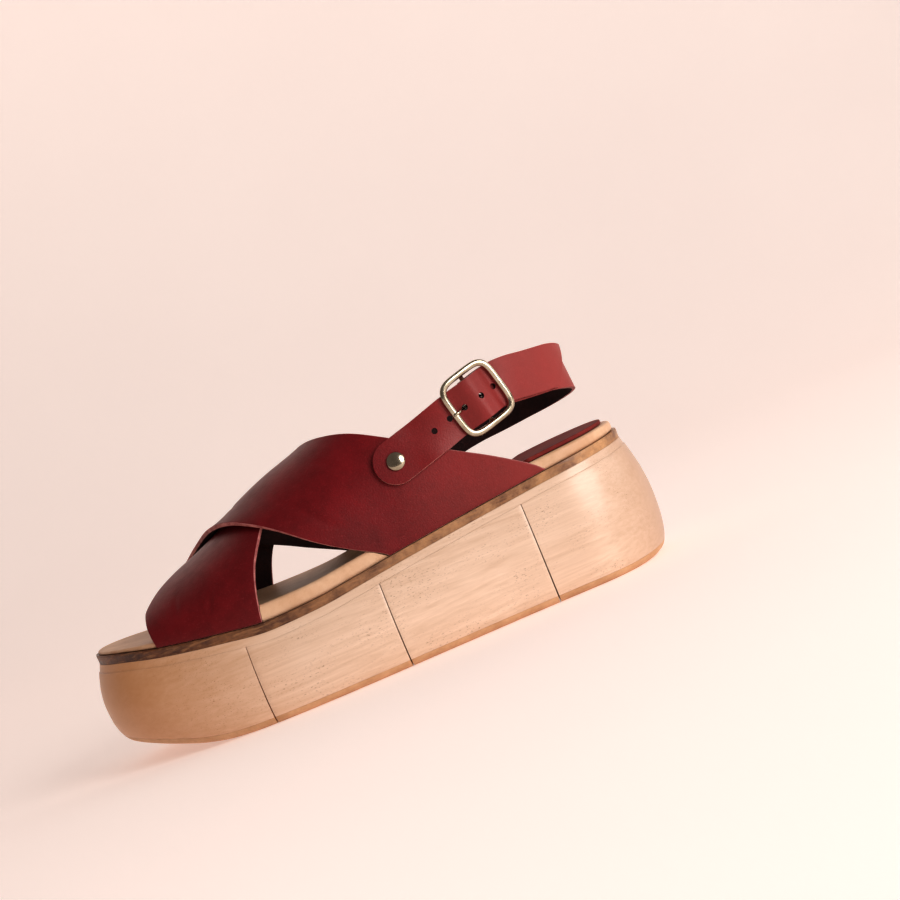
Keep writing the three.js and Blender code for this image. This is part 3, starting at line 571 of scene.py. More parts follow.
def strap_grid(name, edges, lift, rows, columns, spare=0.0):
    """A strap's outer surface: rows run round the last, columns from its front edge to its rear edge."""
    def place(row, column):
        around, across = row / rows, column / columns
        front = edges["front"](around) - spare / SOLE_LENGTH
        rear = edges["rear"](around) + spare / SOLE_LENGTH
        return off_last(front + (rear - front) * across, around, lift(around, across))
    return grid(name, rows, columns, place)


# %% [markdown]
# Each strap is one thick piece of burgundy leather, smooth outside, raw on the flesh side and paler on its
# cut edges. It is a grid laid over the last, which Solidify makes 2 mm thick with its own finish on the
# flesh side and the rim. A few listed creases show where the foot has bent it.

# %% Creases
UNDER_CREASES = (
    (0.06, 0.55, 0.16, 0.62, 0.5, 0.35), (0.10, 0.30, 0.22, 0.26, 0.45, 0.3),
    (0.30, 0.80, 0.44, 0.74, 0.4, 0.3),
)
TOP_CREASES = (
    (0.10, 0.15, 0.26, 0.30, 0.55, 0.35), (0.16, 0.62, 0.30, 0.74, 0.5, 0.3),
    (0.42, 0.25, 0.58, 0.35, 0.45, 0.3), (0.70, 0.55, 0.84, 0.65, 0.5, 0.3),
)
CREASE_WIDTH = 0.045


def crease_depth(creases, around, across):
    """Millimetres pressed in; a crease is (around, across) of both ends, its width and its depth."""
    total = np.zeros(len(around))
    for a0, c0, a1, c1, wide, deep in creases:
        run_a, run_c = a1 - a0, c1 - c0
        t = ((around - a0) * run_a + (across - c0) * run_c) / (run_a**2 + run_c**2)
        off = ((around - a0) * run_c - (across - c0) * run_a) / math.hypot(run_a, run_c)
        taper = np.clip(1 - (2 * t - 1) ** 2, 0, 1)
        total += deep * taper * np.exp(-((off / (CREASE_WIDTH * wide)) ** 2))
    return total


# %% The sides of a strap: each is a finish of its own, built further down
STRAP_SIDES = [bpy.data.materials.new(name) for name in (
    "burgundy_grain", "burgundy_flesh", "burgundy_cut_edge", "punched_edge_painted_shade",
)]


# %% Under strap and top strap
def thicken(strap, thickness, offset):
    """Gives a strap's surface its thickness, with its own finish on the flesh side and the rim."""
    dress(strap, *STRAP_SIDES)
    apply(strap, "SOLIDIFY", thickness=thickness * MM, offset=offset, use_rim=True, use_even_offset=True,
          material_offset=1, material_offset_rim=2)


def leather_strap(name, edges, lift, creases):
    strap = strap_grid(
        name, edges, lambda a, c: lift(a, c) + STRAP - crease_depth(creases, a, c), 132, 56,
    )
    face_out(strap)
    thicken(strap, STRAP, -1)
    bevel(strap, 0.4, 3, 60)
    smooth(strap, 50)
    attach(strap, "root")
    return strap


under_strap = leather_strap("under_strap", UNDER_EDGES, lambda a, c: 0 * a, UNDER_CREASES)
top_strap = leather_strap("top_strap", TOP_EDGES, top_lift, TOP_CREASES)
for strap in (under_strap, top_strap):
    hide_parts("upper")

# %% [markdown]
# The lip of the footbed gives way where the straps go down beside it. The straps' shapes, with a little
# room, are cut out of the footbed here. The loose scraps that this leaves are taken away.

# %% Recesses in the footbed
for edges, lift in ((UNDER_EDGES, lambda a, c: 0 * a), (TOP_EDGES, top_lift)):
    for drop in (0, -GAP):
        recess = strap_grid("recess", edges, lambda a, c: lift(a, c) + 3 * STRAP, 60, 20, spare=0.7 * GAP)
        face_out(recess)
        apply(recess, "SOLIDIFY", thickness=(3 * STRAP + GAP) * MM, offset=-1, use_rim=True)
        edit(recess, lambda: bpy.ops.transform.translate(value=(0, 0, drop * MM)))
        cut(footbed, recess)
edit(footbed, lambda: bpy.ops.mesh.separate(type="LOOSE"))
beds = [o for o in bpy.data.objects if o.name.startswith("footbed_cover")]
beds.sort(key=lambda o: len(o.data.vertices))
for scrap in beds[:-1]:
    bpy.data.objects.remove(scrap)
footbed = beds[-1]
footbed.name = "footbed_cover"
smooth(footbed, 40)
print("footbed:", len(footbed.data.polygons), "faces,", len(beds) - 1, "scraps removed")

# %% [markdown]
# The tab and the sling are straps cut flat from thinner leather and bent along a route. A route is a list
# of points with the direction across the strap at each. A smooth curve joins them, so every distance along
# the flat pattern has its place on the shoe.

# %% Routes: distance along the pattern, point, direction across
TAB_ROUTE = (
    (0, -22.25, 39.85, 79.66, 0.279, -0.18, 0.943), (8, -29.92, 39.05, 81.78, 0.279, -0.18, 0.943),
    (16, -37.6, 38.25, 83.89, 0.279, -0.18, 0.943), (24, -45.28, 37.46, 86, 0.28, -0.227, 0.933),
    (32, -52.9, 36.58, 88.23, 0.305, -0.113, 0.946), (40, -60.5, 35.59, 90.58, 0.286, 0.036, 0.958),
    (45, -65.24, 34.79, 91.86, 0.24, 0.06, 0.969), (47.25, -67.38, 35.22, 92.37, 0.24, 0.06, 0.969),
    (53, -72.77, 36.75, 93.61, 0.24, 0.06, 0.969), (54.5, -74.22, 36.64, 93.97, 0.239, 0.06, 0.969),
    (55.75, -75.33, 36.18, 94.27, 0.239, 0.06, 0.969), (58, -77.14, 34.95, 94.79, 0.233, 0.057, 0.971),
    (64, -81.32, 30.82, 95.91, 0.182, 0.043, 0.982), (65.75, -82.89, 30.12, 96.21, 0.155, 0.039, 0.987),
    (69.75, -86.74, 29.18, 96.71, 0.027, -0.004, 1), (73.5, -90.15, 27.63, 96.61, -0.069, -0.042, 0.997),
    (81.5, -96.99, 23.58, 95.78, -0.109, -0.023, 0.994), (89.5, -103.76, 19.36, 95.13, -0.08, 0.028, 0.996),
    (95.5, -108.57, 15.83, 94.61, -0.061, -0.006, 0.998), (101, -112.33, 11.93, 93.71, -0.021, -0.054, 0.998),
    (105.75, -114.88, 8.04, 92.77, 0.021, -0.088, 0.996), (110, -116.45, 4.19, 91.92, 0.041, -0.139, 0.989),
    (113.49, -117.08, 0.84, 91.2, 0.051, -0.167, 0.985),
)
SLING_ROUTE = (
    (0, -92.62, 21.68, 96.17, -0.084, -0.024, 0.996), (7.5, -86.08, 25.31, 96.72, 0.01, -0.007, 1),
    (8.75, -84.89, 25.67, 96.64, 0.105, 0.019, 0.994), (13.25, -80.6, 26.83, 95.96, 0.187, 0.049, 0.981),
    (21.25, -73.57, 30.2, 94.2, 0.229, 0.056, 0.972), (23.25, -71.87, 31.13, 93.73, 0.24, 0.06, 0.969),
    (24.25, -71.37, 31.97, 93.55, 0.24, 0.06, 0.969), (25.25, -71.3, 32.95, 93.48, 0.24, 0.06, 0.969),
    (26.25, -71.68, 33.87, 93.51, 0.24, 0.06, 0.969), (27.25, -72.42, 34.51, 93.66, 0.24, 0.06, 0.969),
    (28.25, -73.36, 34.74, 93.88, 0.24, 0.062, 0.969), (29.25, -74.29, 34.49, 94.11, 0.24, 0.06, 0.969),
    (31.25, -75.92, 33.4, 94.51, 0.234, 0.058, 0.97), (38, -80.75, 28.88, 95.59, 0.185, 0.047, 0.982),
    (40, -82.6, 28.13, 95.74, 0.155, 0.039, 0.987), (44, -86.39, 27.24, 95.83, 0.025, -0.001, 1),
    (46.75, -88.79, 26.09, 95.72, -0.06, -0.039, 0.997), (54.75, -95.63, 22.04, 94.98, -0.101, -0.02, 0.995),
    (62.75, -102.42, 17.77, 94.38, -0.075, 0.029, 0.997), (68.5, -107.08, 14.45, 93.95, -0.051, 0, 0.999),
    (73.75, -110.74, 10.78, 93.13, -0.01, -0.046, 0.999), (77.75, -112.97, 7.58, 92.35, 0.021, -0.086, 0.996),
    (82, -114.6, 3.82, 91.46, 0.041, -0.153, 0.987), (85, -115.18, 1, 90.8, 0.051, -0.204, 0.978),
    (87.75, -115.14, -1.64, 90.2, 0.051, -0.24, 0.97), (91.25, -114.4, -4.97, 89.5, 0.05, -0.257, 0.965),
    (95, -112.95, -8.37, 88.86, 0.05, -0.26, 0.964), (99.25, -110.55, -11.84, 88.2, 0.05, -0.235, 0.971),
    (105, -106.53, -15.9, 87.43, 0.06, -0.185, 0.981), (113, -99.95, -20.38, 86.53, 0.071, -0.124, 0.99),
    (121, -93.11, -24.45, 85.77, 0.072, -0.098, 0.993), (129, -86.12, -28.25, 84.93, 0.068, -0.091, 0.994),
    (137, -78.85, -31.48, 84.16, 0.059, -0.07, 0.996), (145, -71.31, -34.09, 83.53, 0.082, -0.041, 0.996),
    (152.5, -64.03, -35.56, 82.62, 0.156, -0.009, 0.988), (160.5, -56.16, -36.02, 81.24, 0.18, 0.07, 0.981),
    (168.5, -48.27, -35.97, 79.93, 0.126, 0.151, 0.98), (176.5, -40.35, -35.29, 79.04, 0.104, 0.129, 0.986),
    (184.5, -32.4, -35.18, 78.19, 0.104, 0.129, 0.986), (192.5, -24.45, -35.5, 77.39, 0.104, 0.129, 0.986),
    (195.1, -21.86, -35.62, 77.14, 0.104, 0.129, 0.986),
)


def route(rows):
    """Returns a function that gives the point, across and normal at distances along a strap."""
    rows = np.array(rows)
    at, values = rows[:, 0], rows[:, 1:]
    span = np.diff(at)
    slope = np.diff(values, axis=0) / span[:, None]
    weight = (span[:-1] / (span[:-1] + span[1:]))[:, None]
    middle = slope[:-1] * (1 - weight) + slope[1:] * weight
    tangent = np.concatenate([slope[:1], middle, slope[-1:]])

    def place(distance):
        over = distance - np.clip(distance, at[0], at[-1])
        d = np.clip(distance, at[0], at[-1])
        i = np.clip(np.searchsorted(at, d, side="right") - 1, 0, len(at) - 2)
        h = span[i][:, None]
        t = (d - at[i])[:, None] / h
        start, end = values[i], values[i + 1]
        m0, m1 = tangent[i] * h, tangent[i + 1] * h
        value = bend(t, start, end, m0, m1)
        change = (start * (6 * t**2 - 6 * t) + m0 * (3 * t**2 - 4 * t + 1)
                  + end * (6 * t - 6 * t**2) + m1 * (3 * t**2 - 2 * t)) / h
        along = unit(change[:, :3])
        normal = unit(np.cross(along, value[:, 3:]))
        across = np.cross(normal, along)
        return value[:, :3] + along * over[:, None], across, normal

    return place


tab_route, sling_route = route(TAB_ROUTE), route(SLING_ROUTE)
HALF = BAND_WIDTH / 2


def round_end(offset):
    return HALF - np.sqrt(np.maximum(HALF**2 - offset**2, 0))


# %% [markdown]
# A strap's flat pattern is a grid too. Its first and last rows follow the shape of its ends, round or
# slanted, and the columns lie closer together near its edges, where a round end turns fastest.

# %% Helper that bends a flat pattern along its route
def band(name, path, thickness, start, end, rows, columns):
    def place(row, column):
        offset = -HALF * np.cos(math.pi * column / columns)
        first, last = start(offset), end(offset)
        distance = first + (last - first) * row / rows
        point, across, normal = path(distance)
        return point + across * offset[:, None] - ORIGIN

    strap = grid(name, rows, columns, place)
    middle = strap.data.polygons[(rows // 4) * columns + columns // 2]
    outwards = path(np.array([start(0) + (end(0) - start(0)) * (rows // 4) / rows]))[2][0]
    if Vector(outwards).dot(middle.normal) < 0:
        edit(strap, lambda: bpy.ops.mesh.flip_normals())
    thicken(strap, thickness, 0)
    return strap


def peg(point, normal, radius, depth, sides=40):
    """A round punch standing on a point, in metres."""
    bpy.ops.object.select_all(action="DESELECT")
    bpy.ops.mesh.primitive_cylinder_add(vertices=sides, radius=radius * MM, depth=depth * MM)
    tool = bpy.context.object
    turn = Vector((0, 0, 1)).rotation_difference(Vector(normal)).to_matrix().to_4x4()
    tool.data.transform(Matrix.Translation(Vector(point) * MM) @ turn)
    tool.data.materials.append(STRAP_SIDES[3])
    return tool


# %% Tab with its five holes
TAB_LENGTH, TAB_SLANT, TAB_BAR = 103.66, 31, 54.66
PRONG_OFFSET, HOLE_PITCH, HOLE_RADIUS = 7.2, 8.4, 1.35
RIVET_INSET, SHANK = 9.8, 1.2


def one(path, distance):
    point, across, normal = path(np.array([float(distance)]))
    return point[0], across[0], normal[0]


def finish_strap(strap, node, edge):
    bevel(strap, edge, 3, 60)
    smooth(strap, 50)
    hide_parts(node)
    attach(strap, "root")


tab = band(
    "ankle_tab", tab_route, TAB, round_end,
    lambda offset: TAB_LENGTH + offset * math.tan(math.radians(TAB_SLANT)), 220, 24,
)
for k in (-2, -1, 0, 1, 2):
    point, across, normal = one(tab_route, TAB_BAR - PRONG_OFFSET + k * HOLE_PITCH)
    cut(tab, peg(point, normal, HOLE_RADIUS, 4 * TAB))
point, across, normal = one(tab_route, RIVET_INSET)
cut(tab, peg(point, normal, SHANK + GAP, 6 * TAB))
finish_strap(tab, "tab_strap", 0.35)
print("tab:", len(tab.data.polygons), "faces")

# %% [markdown]
# The sling starts inside the tab, folds round the bar of the buckle, runs round the heel and is riveted to
# the inner side. Where it folds, a slot lets the prong's eye through.

# %% Sling
SLING_LENGTH = 195.1
sling = band(
    "heel_sling", sling_route, SLING, lambda offset: 0 * offset,
    lambda offset: SLING_LENGTH - round_end(offset), 360, 22,
)

# %% Buckle axes and centre
BUCKLE_CENTRE = np.array([-73.84, 34.77, 93.99])
ALONG, ACROSS, OUT = (np.array(v) for v in (
    (-0.9402, -0.2344, 0.2470), (0.2397, 0.0598, 0.9690), (-0.2419, 0.9703, 0.0),
))
BAR_DROP, BAR_RADIUS, PRONG_RADIUS = 2.2, 1.0, 0.7
SLOT_LONG, SLOT_DEEP = 8.2, 8.4
BUCKLE_LENGTH, BUCKLE_WIDTH, WIRE, DEPTH = 27, 28.5, 2.9, 2.2


def at_buckle(along, across, out):
    along, across, out = np.broadcast_arrays(along, across, out)
    return (BUCKLE_CENTRE + along[..., None] * ALONG + across[..., None] * ACROSS
            + np.asarray(out, float)[..., None] * OUT)


def slot_corner(corner):
    return at_buckle(*(corner * (SLOT_LONG / 2, PRONG_RADIUS + GAP, SLOT_DEEP / 2) - (0, 0, BAR_DROP)))


cut(sling, block(slot_corner))
point, across, normal = one(sling_route, SLING_LENGTH - RIVET_INSET)
cut(sling, peg(point, normal, SHANK + GAP, 6 * SLING))
finish_strap(sling, "sling_strap", 0.3)
print("sling:", len(sling.data.polygons), "faces")

# %% [markdown]
# The buckle is a frame of flattened wire with rounded corners, and a thin bar that drops behind it between
# two short cranks. Both are tubes: rings of a section carried along a path. The tongue is a third tube,
# tapered to a blunt tip. Bar and tongue have no end caps: their ends lie inside other metal, or close to a
# point.

# %% Helper that draws a tube along a path
def tube(name, path, radii, sides=20, closed=False, flat=None):
    """A tube through a path of points in millimetres; flat gives the section's half width and half depth."""
    path = np.array(path, float)
    count = len(path)
    if closed:
        ahead, behind = np.roll(path, -1, axis=0), np.roll(path, 1, axis=0)
    else:
        ahead = np.concatenate([path[1:], path[-1:]])
        behind = np.concatenate([path[:1], path[:-1]])
    along = unit(ahead - behind)
    side_a = np.empty_like(path)
    side_a[0] = np.cross(along[0], OUT if abs(along[0] @ OUT) < 0.9 else ALONG)
    for i in range(count):
        base = side_a[max(i - 1, 0)]
        side_a[i] = unit(base - along[i] * (base @ along[i]))
    side_b = np.cross(along, side_a)
    radii = np.broadcast_to(np.asarray(radii, float), (count,))
    turn = 2 * math.pi * np.arange(sides) / sides
    cos, sin = np.cos(turn), np.sin(turn)
    if flat:
        power, wide, deep = flat
        cos, sin = wide * squared(cos, power), deep * squared(sin, power)

    def place(row, column):
        r, c = row % count if closed else row, column % sides
        reach = side_a[r] * cos[c][:, None] + side_b[r] * sin[c][:, None]
        return path[r] + reach * radii[r][:, None] - ORIGIN

    body = grid(name, count if closed else count - 1, sides, place)
    return merge(body)


def metal(piece, node):
    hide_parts(node)
    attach(piece, "root")
    return smooth(piece, 60)


# %% Buckle frame
half_long = (BUCKLE_LENGTH - WIRE) / 2
half_wide = (BUCKLE_WIDTH - WIRE) / 2
SQUARENESS = 4.6
turn = np.linspace(0, 2 * math.pi, 4001)
outline = np.stack([
    half_long * squared(np.cos(turn), SQUARENESS), half_wide * squared(np.sin(turn), SQUARENESS),
], axis=1)
walked = np.concatenate([[0], np.cumsum(np.linalg.norm(np.diff(outline, axis=0), axis=1))])
even = np.linspace(0, walked[-1], 129)[:-1]
spread = np.stack([np.interp(even, walked, outline[:, k]) for k in (0, 1)], axis=1)
frame_path = at_buckle(spread[:, 0], spread[:, 1], np.zeros(len(spread)))
ring_body = tube("buckle_ring", frame_path, 1, 28, closed=True, flat=(2.3, WIRE / 2, DEPTH / 2))
metal(ring_body, "buckle_frame")

# %% Centre bar
lug, foot = BUCKLE_WIDTH / 2 - WIRE / 2, 11.4
bar_ends = [(lug + 0.2, 0.1), (lug - 0.3, -0.6), (foot + 0.35, -1.75), (foot - 0.5, -BAR_DROP)]
bar_across = [a for a, _ in bar_ends] + list(np.linspace(9, -9, 7)) + [-a for a, _ in reversed(bar_ends)]
bar_out = [o for _, o in bar_ends] + [-BAR_DROP] * 7 + [o for _, o in reversed(bar_ends)]
bar_path = at_buckle(np.zeros(len(bar_across)), np.array(bar_across), np.array(bar_out))
bar = tube("buckle_bar", bar_path, BAR_RADIUS, 20)
metal(bar, "buckle_frame")

# %% Prong: an eye round the bar and a tapered tongue
EYE = BAR_RADIUS + GAP + PRONG_RADIUS
turn = 2 * math.pi * np.arange(40) / 40
eye_path = at_buckle(EYE * np.cos(turn), np.zeros(40), EYE * np.sin(turn) - BAR_DROP)
eye = tube("prong_eye", eye_path, PRONG_RADIUS, 16, closed=True)
metal(eye, "buckle_prong")
TONGUE = (
    (-2.0, -1.6, 0.7), (-3.7, -1.75, 0.7), (-5.4, -1.64, 0.7), (-6.9, -1.35, 0.7), (-7.9, -0.76, 0.7),
    (-8.9, 0.3, 0.7), (-10.05, 1.47, 0.7), (-10.8, 1.95, 0.68), (-11.4, 2.1, 0.66), (-12.3, 2.12, 0.62),
    (-13.0, 2.08, 0.6), (-13.35, 2.06, 0.45), (-13.5, 2.05, 0.2), (-13.52, 2.05, 0.01),
)
tongue_rows = np.array(TONGUE)
reach = np.linspace(0, len(tongue_rows) - 1, 60)
index = np.arange(len(tongue_rows))
smooth_rows = [curve(index, tongue_rows[:, k])(reach) for k in range(3)]
tongue_path = at_buckle(smooth_rows[0], np.zeros(60), smooth_rows[1])
tongue = tube("prong_tongue", tongue_path, smooth_rows[2], 18)
metal(tongue, "buckle_prong")
print("buckle: ring, bar, eye and tongue")

# %% [markdown]
# A rivet is a domed cap on a shank that goes through both leathers to a washer on the inside. Its outline,
# from the washer to the top of the dome, is turned round its axis.

# %% Rivets
RIVETS = {
    "rivet_lateral": ((-31.59, 37.70, 82.01), (-0.0468, 0.9784, 0.2011), TAB),
    "rivet_medial": ((-31.57, -34.10, 77.96), (-0.0310, -0.9907, 0.1326), SLING),
}
CAP, CAP_RIM, DOME, WASHER, WASHER_HEIGHT = 4.0, 0.32, 1.5, 3.2, 0.8


def turned(name, seat, normal, profile, sides=48):
    """Turns an outline of (radius, height) rows round an axis."""
    axis = unit(np.array(normal))
    first = unit(np.cross(axis, (1, 0, 0)))
    second = np.cross(axis, first)
    rows = np.array(profile)

    def place(row, column):
        angle = 2 * math.pi * (column % sides) / sides
        radius, height = rows[row, 0], rows[row, 1]
        around = first * np.cos(angle)[:, None] + second * np.sin(angle)[:, None]
        return np.array(seat) + around * radius[:, None] + axis * height[:, None] - ORIGIN

    return merge(grid(name, len(rows) - 1, sides, place))


for name, (seat, normal, leather) in RIVETS.items():
    outside, inside = 2 * GAP + leather, -STRAP - GAP
    dome = [(CAP * math.cos(a), outside + CAP_RIM + (DOME - CAP_RIM) * math.sin(a))
            for a in np.linspace(0, math.pi / 2, 16)]
    dome[-1] = (0, outside + DOME)
    foot = inside - WASHER_HEIGHT
    profile = [
        (0, foot), (WASHER - 0.25, foot), (WASHER, foot + 0.2), (WASHER, inside - 0.1),
        (WASHER - 0.1, inside), (SHANK, inside), (SHANK, outside), (CAP - 0.1, outside),
        (CAP, outside + 0.08), (CAP, outside + 0.24),
    ] + dome[1:]
    metal(turned(name.replace("rivet", "cap"), seat, normal, profile), name)
print("rivets:", len(RIVETS))

# %% [markdown]
# Finishes are built from nodes. Short helpers add and join them. Effects that several finishes share, such
# as a hide's grain or soft patches of colour, are shader groups, built once and used with other values in
# each material.

# %% Helpers that build materials
def rgb(red, green, blue):
    """A colour as a photograph shows it, from 0 to 255, as the light values that shaders use."""
    values = [v / 255 for v in (red, green, blue)]
    return [v / 12.92 if v <= 0.04045 else ((v + 0.055) / 1.055) ** 2.4 for v in values] + [1.0]


class Nodes:
    """Adds nodes to a tree. An input is a value or another node's output."""

    def __init__(self, tree):
        self.tree = tree

    def feed(self, node, values):
        for key, value in values.items():
            if isinstance(value, bpy.types.NodeSocket):
                self.tree.links.new(value, node.inputs[key])
            else:
                node.inputs[key].default_value = value
        return node

    def add(self, kind, inputs=None, **settings):
        node = self.tree.nodes.new(f"ShaderNode{kind}")
        for key, value in settings.items():
            setattr(node, key, value)
        return self.feed(node, inputs or {})

    def place(self, scale=(1, 1, 1), turn=(0, 0, 0)):
        coords = self.add("TexCoord").outputs["Object"]
        return self.add("Mapping", {"Vector": coords, "Scale": scale, "Rotation": turn}).outputs["Vector"]

    def noise(self, where, scale, detail=4.0, rough=0.5, bend=0.0):
        values = {"Vector": where, "Scale": scale, "Detail": detail, "Roughness": rough, "Distortion": bend}
        return self.add("TexNoise", values).outputs["Fac"]

    def cells(self, where, scale, feature="F1"):
        node = self.add("TexVoronoi", {"Vector": where, "Scale": scale}, feature=feature)
        return node.outputs["Distance"]

    def span(self, value, low, high, to_low=0.0, to_high=1.0):
        values = {"Value": value, "From Min": low, "From Max": high, "To Min": to_low, "To Max": to_high}
        return self.add("MapRange", values).outputs["Result"]

    def calc(self, operation, a, b):
        node = self.add("Math", {0: a, 1: b}, operation=operation)
        return node.outputs["Value"]

    def times(self, a, b):
        return self.calc("MULTIPLY", a, b)

    def sum(self, a, weight_a, b, weight_b):
        return self.calc("ADD", self.times(a, weight_a), self.times(b, weight_b))

    def along(self):
        """The distance along the shoe, from the heel to the toe."""
        return self.add("SeparateXYZ", {0: self.add("TexCoord").outputs["Object"]}).outputs["X"]

    def mix(self, share, a, b):
        return self.add("Mix", {0: share, 6: a, 7: b}, data_type="RGBA").outputs[2]

    def bump(self, height, strength, distance):
        values = {"Height": height, "Strength": strength, "Distance": distance}
        return self.add("Bump", values).outputs["Normal"]

    def use(self, tree, **values):
        node = self.tree.nodes.new("ShaderNodeGroup")
        node.node_tree = tree
        return self.feed(node, values).outputs


def group(name, inputs, outputs, build):
    """A shader group. inputs are (name, kind, value), outputs are names with their kinds."""
    tree = bpy.data.node_groups.new(name, "ShaderNodeTree")
    for label, kind, value in inputs:
        socket = tree.interface.new_socket(label, in_out="INPUT", socket_type=f"NodeSocket{kind}")
        socket.default_value = value
    for label, kind in outputs:
        tree.interface.new_socket(label, in_out="OUTPUT", socket_type=f"NodeSocket{kind}")
    source = tree.nodes.new("NodeGroupInput").outputs
    target = tree.nodes.new("NodeGroupOutput").inputs
    for label, socket in build(Nodes(tree), source).items():
        tree.links.new(socket, target[label])
    return tree


def finish(name, build, **values):
    """A material with one Principled shader; build returns what feeds its sockets."""
    material = bpy.data.materials.get(name) or bpy.data.materials.new(name)
    material.use_nodes = True
    nodes = Nodes(material.node_tree)
    shader = material.node_tree.nodes["Principled BSDF"]
    nodes.feed(shader, {key.replace("_", " "): value for key, value in values.items()})
    nodes.feed(shader, build(nodes))
    return material


# %% Shared effects
def build_mottle(n, given):
    where = n.place()
    wide = n.noise(where, given["Scale"], 3.0, 0.55)
    fine = n.noise(where, n.times(given["Scale"], 6.0), 3.0, 0.6)
    both = n.sum(wide, 0.72, fine, 0.28)
    mask = n.span(both, 0.36, 0.64)
    return {"Colour": n.mix(mask, given["Dark"], given["Light"]), "Mask": mask}


MOTTLE = group(
    "soft_patches",
    (("Dark", "Color", rgb(90, 20, 30)), ("Light", "Color", rgb(130, 35, 45)), ("Scale", "Float", 30.0)),
    (("Colour", "Color"), ("Mask", "Float")), build_mottle,
)


def build_grain(n, given):
    where = n.place()
    pebbles = n.cells(where, given["Cells"], "SMOOTH_F1")
    ridges = n.noise(where, n.times(given["Cells"], 0.45), 5.0, 0.6)
    height = n.sum(pebbles, 0.6, ridges, 0.7)
    speckle = n.noise(where, n.times(given["Cells"], 0.8), 2.0, 0.7)
    pores = n.span(speckle, 0.58, 0.72)
    return {"Height": height, "Pores": pores}


GRAIN = group(
    "hide_grain", (("Cells", "Float", 1400.0),), (("Height", "Float"), ("Pores", "Float")), build_grain,
)


def build_fibre(n, given):
    where = n.place()
    stretch = n.add("VectorMath", {0: where, 1: given["Stretch"]}, operation="MULTIPLY").outputs["Vector"]
    strands = n.noise(stretch, given["Scale"], 6.0, 0.62, 0.35)
    return {"Strands": strands}


FIBRE = group(
    "long_fibres", (("Stretch", "Vector", (0.06, 1.0, 1.0)), ("Scale", "Float", 260.0)),
    (("Strands", "Float"),), build_fibre,
)
print("shared effects:", MOTTLE.name, GRAIN.name, FIBRE.name)

# %% [markdown]
# The burgundy leather has a fine pebbled grain, slight patches of lighter dye, and a soft satin gloss.
# Towards the heel, where the light falls on it, its colour is painted lighter: a painted sheen. Its flesh
# side is dark and dull, and where the knife has cut it the paler, pinker middle of the hide shows as a thin
# line.

# %% Burgundy leather: outside, flesh side and cut edge
def outside_leather(n):
    patch = n.use(MOTTLE, Dark=rgb(92, 8, 15), Light=rgb(118, 20, 27), Scale=38.0)
    grain = n.use(GRAIN, Cells=1500.0)
    colour = n.mix(n.times(grain["Pores"], 0.34), patch["Colour"], rgb(140, 48, 52))
    # painted sheen: the colour turns lighter towards the heel, where the light falls on the leather
    colour = n.mix(n.span(n.along(), -0.02, -0.12, 0.0, 0.55), colour, rgb(176, 78, 72))
    rough = n.span(patch["Mask"], 0.0, 1.0, 0.48, 0.38)
    return {"Base Color": colour, "Roughness": rough, "Normal": n.bump(grain["Height"], 0.4, 0.0002)}


def flesh_leather(n):
    patch = n.use(MOTTLE, Dark=rgb(30, 9, 10), Light=rgb(54, 20, 19), Scale=90.0)
    fuzz = n.use(FIBRE, Stretch=(1.0, 1.0, 1.0), Scale=900.0)
    return {"Base Color": patch["Colour"], "Normal": n.bump(fuzz["Strands"], 0.5, 0.0003)}


def cut_leather(n):
    patch = n.use(MOTTLE, Dark=rgb(140, 66, 66), Light=rgb(200, 128, 122), Scale=260.0)
    fuzz = n.use(FIBRE, Stretch=(0.3, 1.0, 1.0), Scale=1500.0)
    return {"Base Color": patch["Colour"], "Normal": n.bump(fuzz["Strands"], 0.4, 0.0002)}


burgundy = finish("burgundy_grain", outside_leather,
                  Specular_IOR_Level=0.36, Specular_Tint=(1.0, 0.72, 0.68, 1.0))
flesh = finish("burgundy_flesh", flesh_leather, Roughness=0.85)
raw_edge = finish("burgundy_cut_edge", cut_leather, Roughness=0.7)


# painted shade: the walls of the punched holes are painted near black, as the inside of a hole lies in shade
def punched_hole_shade(n):
    fuzz = n.use(FIBRE, Stretch=(1.0, 1.0, 1.0), Scale=1800.0)
    return {"Base Color": n.mix(fuzz["Strands"], rgb(26, 6, 8), rgb(58, 16, 18))}


hole_wall_shade = finish("punched_edge_painted_shade", punched_hole_shade, Roughness=0.8)
print("leather finishes:", burgundy.name, flesh.name, raw_edge.name, hole_wall_shade.name)

# %% [markdown]
# The wood is pale and close-grained, waxed to a low gloss. Long bands of tone run along the shoe, with
# short dark pores in line with them. The toe is painted warmer and darker and the heel a little darker:
# painted shade.

